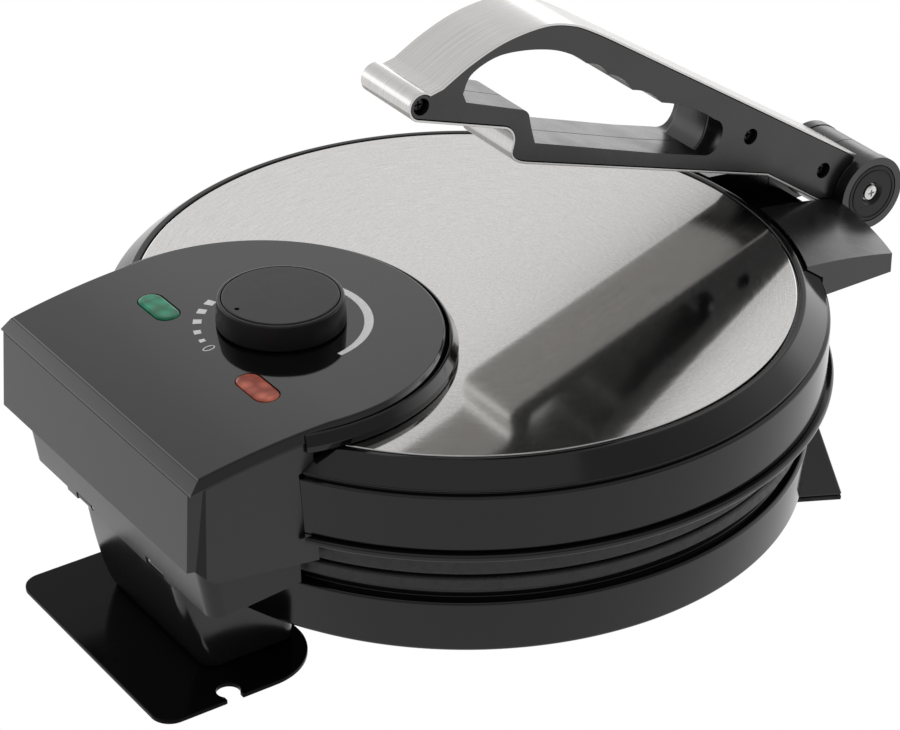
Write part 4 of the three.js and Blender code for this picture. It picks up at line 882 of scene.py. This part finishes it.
def spline(points, steps=10):
    """A smooth curve through the points, without the first of them."""
    out = []
    last = len(points) - 1
    for i in range(last):
        p0, p1 = points[max(i - 1, 0)], points[i]
        p2, p3 = points[i + 1], points[min(i + 2, last)]
        for k in range(1, steps + 1):
            t = k / steps
            v0, v1 = (p2 - p0) / 2, (p3 - p1) / 2
            out.append(
                (2 * p1 - 2 * p2 + v0 + v1) * t**3
                + (-3 * p1 + 3 * p2 - 2 * v0 - v1) * t**2
                + v0 * t
                + p1
            )
    return out


def curve(p0, control, p1, steps=10):
    ts = [k / steps for k in range(1, steps + 1)]
    return [p0 * (1 - t) ** 2 + control * (2 * t * (1 - t)) + p1 * t**2 for t in ts]


def band_path():
    start, bend = reach((0.05, 0.057)), reach((0.509, 0.137))
    points = [start, bend]
    crest = [
        (0.509, 0.137), (0.64, 0.16), (0.718, 0.1725), (0.768, 0.1755), (0.821, 0.165),
        (0.885, 0.13), (0.936, 0.084), (0.975, 0.036),
    ]
    points += spline([reach(p) for p in crest], 12)
    tip = [Vector(p) for p in arc(REACH, 0, 0.0245 * REACH, 108, -90, 28)]
    points += tip
    step = ((0.825, -0.01), (0.8, -0.012), (0.799, -0.042), (0.796, -0.062), (0.762, -0.06))
    before, hold, foot, turn, after = [reach(p) for p in step]
    points.append(before)
    points += curve(before, hold, foot)
    points += curve(foot, turn, after)
    points += [reach(p) for p in ((0.388, -0.0225), (0.237, -0.0085), (0.05, -0.046))]
    return [p for k, p in enumerate(points) if k == 0 or (p - points[k - 1]).length > 0.3]


def shifted(points, distance):
    """The path moved to its right-hand side, which is the inside of the handle."""
    out = []
    for k, p in enumerate(points):
        into = (p - points[max(k - 1, 0)]).normalized()
        away = (points[min(k + 1, len(points) - 1)] - p).normalized()
        along = (into + away).normalized()
        step = distance / max(along.dot(away if k == 0 else into), 0.5)
        out.append(Vector((p.x + along.y * step, p.y - along.x * step)))
    return out


def loop_outline():
    start, nose = reach((0.93, 0.032)), reach((0.927, 0.065))
    top_places = ((0.892, 0.099), (0.843, 0.118), (0.788, 0.128), (0.743, 0.1265), (0.71, 0.118))
    crest = [reach(p) for p in top_places]
    points = [start] + spline([start, nose] + crest, 8)
    from_point = crest[-1]
    for to in [reach(p) for p in ((0.659, 0.108), (0.597, 0.0905), (0.5256, 0.0795), (0.405, 0.0705))]:
        middle = (from_point + to) / 2 + Vector((0, 0.012 * REACH))
        points += curve(from_point, middle, to, 8)
        from_point = to
    heel_places = ((0.4, 0.069), (0.37, 0.037), (0.402, 0.005), (0.487, -0.004))
    top, heel, foot, beam = [reach(p) for p in heel_places]
    points.append(top)
    points += curve(top, Vector((heel.x, top.y)), heel)
    points += curve(heel, Vector((heel.x, foot.y)), foot)
    points.append(beam)
    low, rise, knee, shoulder, flat = [
        reach(p) for p in ((0.755, -0.024), (0.775, 0), (0.787, 0.019), (0.807, 0.025), (0.918, 0.02))
    ]
    points.append(low)
    points += curve(low, rise, knee)
    points += curve(knee, (knee + shoulder) / 2 + Vector((-0.5, 1.0)), shoulder)
    points.append(flat)
    return points


SCREWS = [(1, 0), (0.306, 0.052), (0.111, 0.018)]
CAP_R = 12


def phillips(obj, x, y, z, size):
    """A cross recess in a screw head that faces -X."""
    for wide, tall in ((size, size * 0.24), (size * 0.24, size)):
        slot = box("slot", (x - 1, y - wide, z - tall), (x + size * 0.7, y + wide, z + tall))
        boolean(obj, slot)


def handle():
    path = band_path()
    inner = shifted(path, BAND)
    band_outline = swung(path) + list(reversed(swung(inner)))
    band = prism("handle_band", band_outline, -HALF, HALF, "X")
    hub = rod_x("hub", BARREL_R + 0.1, -CUT_REACH, CUT_REACH, PIVOT_Y, PIVOT_Z, 128)
    boolean(band, hub)
    bevelled(band, 0.28, 2, 50)
    piece(band, "handle", looks["band"], "handle_steel_band", angle=35, slot="brushed_steel")
    frame_outline = swung(shifted(path, BAND + GAP))
    loop = swung(loop_outline())
    screw_places = [swung([reach(p)])[0] for p in SCREWS]
    for side, sign in (("left", -1), ("right", 1)):
        face, seam = sign * (HALF - 0.5), sign * GAP / 2
        low, high = min(face, seam), max(face, seam)
        half = prism("frame_" + side, frame_outline, low, high, "X")
        hub_low, hub_high = min(sign * HALF, seam), max(sign * HALF, seam)
        hub = rod_x("hub", BARREL_R - GAP, hub_low, hub_high, PIVOT_Y, PIVOT_Z, 128)
        boolean(half, hub, "UNION")
        boolean(half, prism("loop", loop, -CUT_REACH, CUT_REACH, "X"))
        if sign < 0:
            for y, z in screw_places:
                boolean(half, rod_x("recess", 3.3, -CUT_REACH, -9.8, y, z, 40))
        bevelled(half, 0.7, 3, 35)
        piece(half, "handle", looks["handle"], "handle_frame_" + side, angle=35, slot="gloss_black")
    core = dressed("grip_core", "handle_core", 0.7, 3, 30)
    piece(core, "handle", looks["handle"], "handle_core", angle=40, slot="gloss_black")
    for k, (y, z) in enumerate(screw_places):
        head, under, stem = -13, -10.1, 7
        profile = [(0, head), (2.75, head, 0.8), (2.75, under), (1.4, under), (1.4, stem), (0, stem)]
        profile = rounded(profile)
        screw = lathe_x("frame_screw_" + "abc"[k], profile, y, z, 40)
        phillips(screw, head, y, z, 1.5)
        piece(screw, "handle", looks["dark_screw"], "handle_screw_" + "abc"[k], slot="zinc_steel")


def bracket():
    inner_r, outer_r, skirt = 131.0, 170.0, 89.4
    rear_z, front_z, crown_rise, steps = 104.8, 97.6, 1.6, 12
    middle_z = (rear_z + front_z) / 2 + crown_rise
    crown = []
    for t in [k / steps for k in range(steps + 1)]:
        z = rear_z * (1 - t) ** 2 + 2 * t * (1 - t) * middle_z + front_z * t**2
        crown.append((inner_r + (outer_r - inner_r) * t, z))
    dome = lathe("front_block", [(inner_r, skirt)] + crown + [(outer_r, skirt)], 360)
    boolean(dome, box("sides", (-64, -200, 80), (64, 0, 120)), "INTERSECT")
    keel_front = PIVOT_Y + BARREL_R
    boolean(dome, box("keel", (-26, keel_front, 80), (26, -inner_r, 91.4)), "UNION")
    room = HALF + 0.6
    boolean(dome, box("channel", (-room, -200, 88), (room, 0, 120)))
    boolean(dome, rod_x("turn", BARREL_R + 0.6, -room, room, PIVOT_Y, PIVOT_Z, 128))
    for sign in (-1, 1):
        near, far = sorted((sign * (HALF + GAP), sign * (HALF + GAP + 4.6)))
        neck = box("neck", (near, PIVOT_Y, 82), (far, keel_front + BARREL_R / 2, PIVOT_Z))
        boolean(dome, neck, "UNION")
        boolean(dome, rod_x("ear", BARREL_R, near, far, PIVOT_Y, PIVOT_Z, 128), "UNION")
        low, high = sorted((sign * 18.4, sign * 23))
        boolean(dome, rod_x("recess", CAP_R + GAP, low, high, PIVOT_Y, PIVOT_Z, 96))
    boolean(dome, rod_x("bore", 4.3, -22, 22, PIVOT_Y, PIVOT_Z, 48))
    hollow = [
        (0, COVER_TOP + GAP), (LIP_R + GAP, COVER_TOP + GAP), (BEVEL_R + GAP, BEVEL_Z + GAP),
        (LID_R + GAP, BEVEL_Z), (LID_R + GAP, 70), (0, 70),
    ]
    boolean(dome, lathe("hollow", hollow, 240))
    bevelled(dome, 0.9, 4, 28)
    piece(dome, "lid", looks["bracket"], "front_bracket", angle=35, slot="gloss_black")
    for side, sign in (("left", -1), ("right", 1)):
        inner, outer, head = sign * 18.7, sign * 20.7, sign * 20.3
        groove, hollow = outer - sign * 0.35, outer - sign * 1.2
        profile = rounded(
            [
                (3.9, inner), (CAP_R, inner), (CAP_R, outer, 0.4),
                (10.6, outer, 0.2), (10.4, groove, 0.1), (10.0, groove, 0.1), (9.8, outer, 0.2),
                (5.2, outer, 0.5), (3.9, hollow, 0.2),
            ]
        )
        cap = lathe_x("cap_" + side, profile, PIVOT_Y, PIVOT_Z, 96)
        piece(cap, "lid", looks["knob"], "axle_cap_" + side, slot="satin_grey")
        profile = [(0, inner), (3.2, inner), (3.2, head - sign * 0.4, 0.4), (1.6, head, 0.5), (0, head)]
        head_profile = rounded(profile)
        screw = lathe_x("cap_screw_" + side, head_profile, PIVOT_Y, PIVOT_Z, 48)
        if sign < 0:
            phillips(screw, head, PIVOT_Y, PIVOT_Z, 1.5)
        piece(screw, "lid", looks["screw"], "axle_screw_" + side, slot="brushed_steel")


for make in (cover, lid_ring, rim_ring, plates, base_ring, panel, panel_lip, control_box, knob, lamps,
             dial, pedestal, supports, handle, bracket):
    make()

# Floor, light and camera
stage = bpy.data.meshes.new("floor")
FLOOR_HALF, FLOOR_Z = 6, -0.0005
corners = [(x * FLOOR_HALF, y * FLOOR_HALF, FLOOR_Z) for x, y in ((-1, -1), (1, -1), (1, 1), (-1, 1))]
stage.from_pydata(corners, [], [(0, 1, 2, 3)])
floor = bpy.data.objects.new("floor", stage)
bpy.context.scene.collection.objects.link(floor)
pale = Look("floor_pale", (0.85, 0.85, 0.85), 0.9, specular=0.0)
white_floor = pale.tree.nodes.new("ShaderNodeEmission")
seen = pale.tree.nodes.new("ShaderNodeLightPath")
floor_mix = pale.tree.nodes.new("ShaderNodeMixShader")
lit = pale.math("MAXIMUM", seen.outputs["Is Camera Ray"], seen.outputs["Is Glossy Ray"])
pale.link(lit, floor_mix.inputs["Fac"])
pale.link(pale.shader.outputs[0], floor_mix.inputs[1])
pale.link(white_floor.outputs[0], floor_mix.inputs[2])
pale.link(floor_mix.outputs[0], pale.tree.nodes["Material Output"].inputs["Surface"])
stage.materials.append(pale.material)

world = bpy.data.worlds.new("studio")
bpy.context.scene.world = world
world.use_nodes = True
tree = world.node_tree
sky = tree.nodes["Background"]
direction = tree.nodes.new("ShaderNodeTexCoord").outputs["Generated"]
SKY_STRENGTH = 2.0


def world_math(operation, *values):
    node = tree.nodes.new("ShaderNodeMath")
    node.operation = operation
    for socket, value in zip(node.inputs, values):
        if isinstance(value, (int, float)):
            socket.default_value = value
        else:
            tree.links.new(value, socket)
    return node.outputs[0]


def along(vector):
    node = tree.nodes.new("ShaderNodeVectorMath")
    node.operation = "DOT_PRODUCT"
    tree.links.new(direction, node.inputs[0])
    node.inputs[1].default_value = vector
    return node.outputs["Value"]


def world_ramp(factor, stops):
    """Grey levels along a factor, each divided by the strength of the sky."""
    ramp = tree.nodes.new("ShaderNodeValToRGB")
    elements = ramp.color_ramp.elements
    for place, level in stops[1:-1]:
        elements.new(place)
    for element, (place, level) in zip(elements, stops):
        element.color = (level / SKY_STRENGTH, level / SKY_STRENGTH, level / SKY_STRENGTH, 1)
    tree.links.new(factor, ramp.inputs["Fac"])
    return ramp.outputs["Color"]


def world_mix(factor, first, second):
    node = tree.nodes.new("ShaderNodeMix")
    node.data_type = "RGBA"
    factor = world_math("MAXIMUM", world_math("MINIMUM", factor, 1.0), 0.0)
    tree.links.new(factor, node.inputs["Factor"])
    tree.links.new(first, node.inputs[6])
    tree.links.new(second, node.inputs[7])
    return node.outputs[2]


# A studio with a bright surround and one dark gap, seen in the steel cover as a wedge from an apex
LENS_PX = 3173.87
right = Vector((-0.5619831, -0.82714696, -0.00170144))
up = Vector((0.41781618, -0.28564822, 0.86245854))
ahead = Vector((0.71386598, -0.48397624, -0.50612486))
mirror_right, mirror_up, mirror_ahead = [Vector((v.x, v.y, -v.z)) for v in (right, up, ahead)]
APEX_RIGHT, APEX_UP, FIRST_SLANT = 719, 572, 0.6
across = along(mirror_ahead * APEX_RIGHT - mirror_right * LENS_PX)
down = along(mirror_ahead * APEX_UP - mirror_up * LENS_PX)
slant = world_math("DIVIDE", across, world_math("MAXIMUM", down, 1.0))
wedge = world_ramp(world_math("SUBTRACT", slant, FIRST_SLANT), (
    (0.0, 1.0), (0.225, 1.0), (0.255, 0.08), (0.38, 0.16),
    (0.47, 0.36), (0.53, 0.58), (0.57, 0.95), (1.0, 1.0),
))
climb = along(Vector((0, 0, 1)))
backdrop = world_ramp(climb, ((0.0, 2.0), (0.3, 2.0), (0.42, 1.0), (0.6, 0.9), (0.94, 0.55), (1.0, 0.5)))
behind = world_ramp(climb, ((0.0, 0.4), (0.5, 0.45), (1.0, 0.5)))
facing = world_math("MULTIPLY_ADD", along(Vector((0.83, -0.56, 0))), 2.0, 0.3)
room = world_mix(facing, behind, backdrop)
near = world_math("MULTIPLY_ADD", along(mirror_ahead), 66.7, -64.7)
tree.links.new(world_mix(near, room, wedge), sky.inputs["Color"])
sky.inputs["Strength"].default_value = SKY_STRENGTH
white = tree.nodes.new("ShaderNodeBackground")
white.inputs["Color"].default_value = (1, 1, 1, 1)
chooser = tree.nodes.new("ShaderNodeMixShader")
path = tree.nodes.new("ShaderNodeLightPath")
tree.links.new(path.outputs["Is Camera Ray"], chooser.inputs["Fac"])
tree.links.new(sky.outputs[0], chooser.inputs[1])
tree.links.new(white.outputs[0], chooser.inputs[2])
tree.links.new(chooser.outputs[0], tree.nodes["World Output"].inputs["Surface"])


def softbox(name, place, target, width, height, power):
    data = bpy.data.lights.new(name, "AREA")
    data.shape = "RECTANGLE"
    data.size, data.size_y = width, height
    data.energy = power
    obj = bpy.data.objects.new(name, data)
    obj.location = place
    aim = Vector(target) - Vector(place)
    obj.rotation_euler = aim.to_track_quat("-Z", "Y").to_euler()
    bpy.context.scene.collection.objects.link(obj)


softbox("key", (-0.5, 0.5, 2.4), (0, 0, 0.08), 2.4, 2.4, 6)

scene = bpy.context.scene
scene.view_settings.view_transform = "Standard"
camera_data = bpy.data.cameras.new("camera")
camera = bpy.data.objects.new("camera", camera_data)
scene.collection.objects.link(camera)
scene.camera = camera
camera_data.sensor_fit = "HORIZONTAL"
SENSOR_WIDTH, IMAGE_WIDTH = 36.0, 900.0
camera_data.sensor_width = SENSOR_WIDTH
camera_data.lens = LENS_PX * SENSOR_WIDTH / IMAGE_WIDTH
camera_data.clip_start = 0.01
camera_data.clip_end = 50.0
turn = Matrix((right, up, -ahead)).transposed().to_4x4()
EYE = (-866.948, 594.828, 685.308)
camera.matrix_world = Matrix.Translation(spot(*EYE)) @ turn
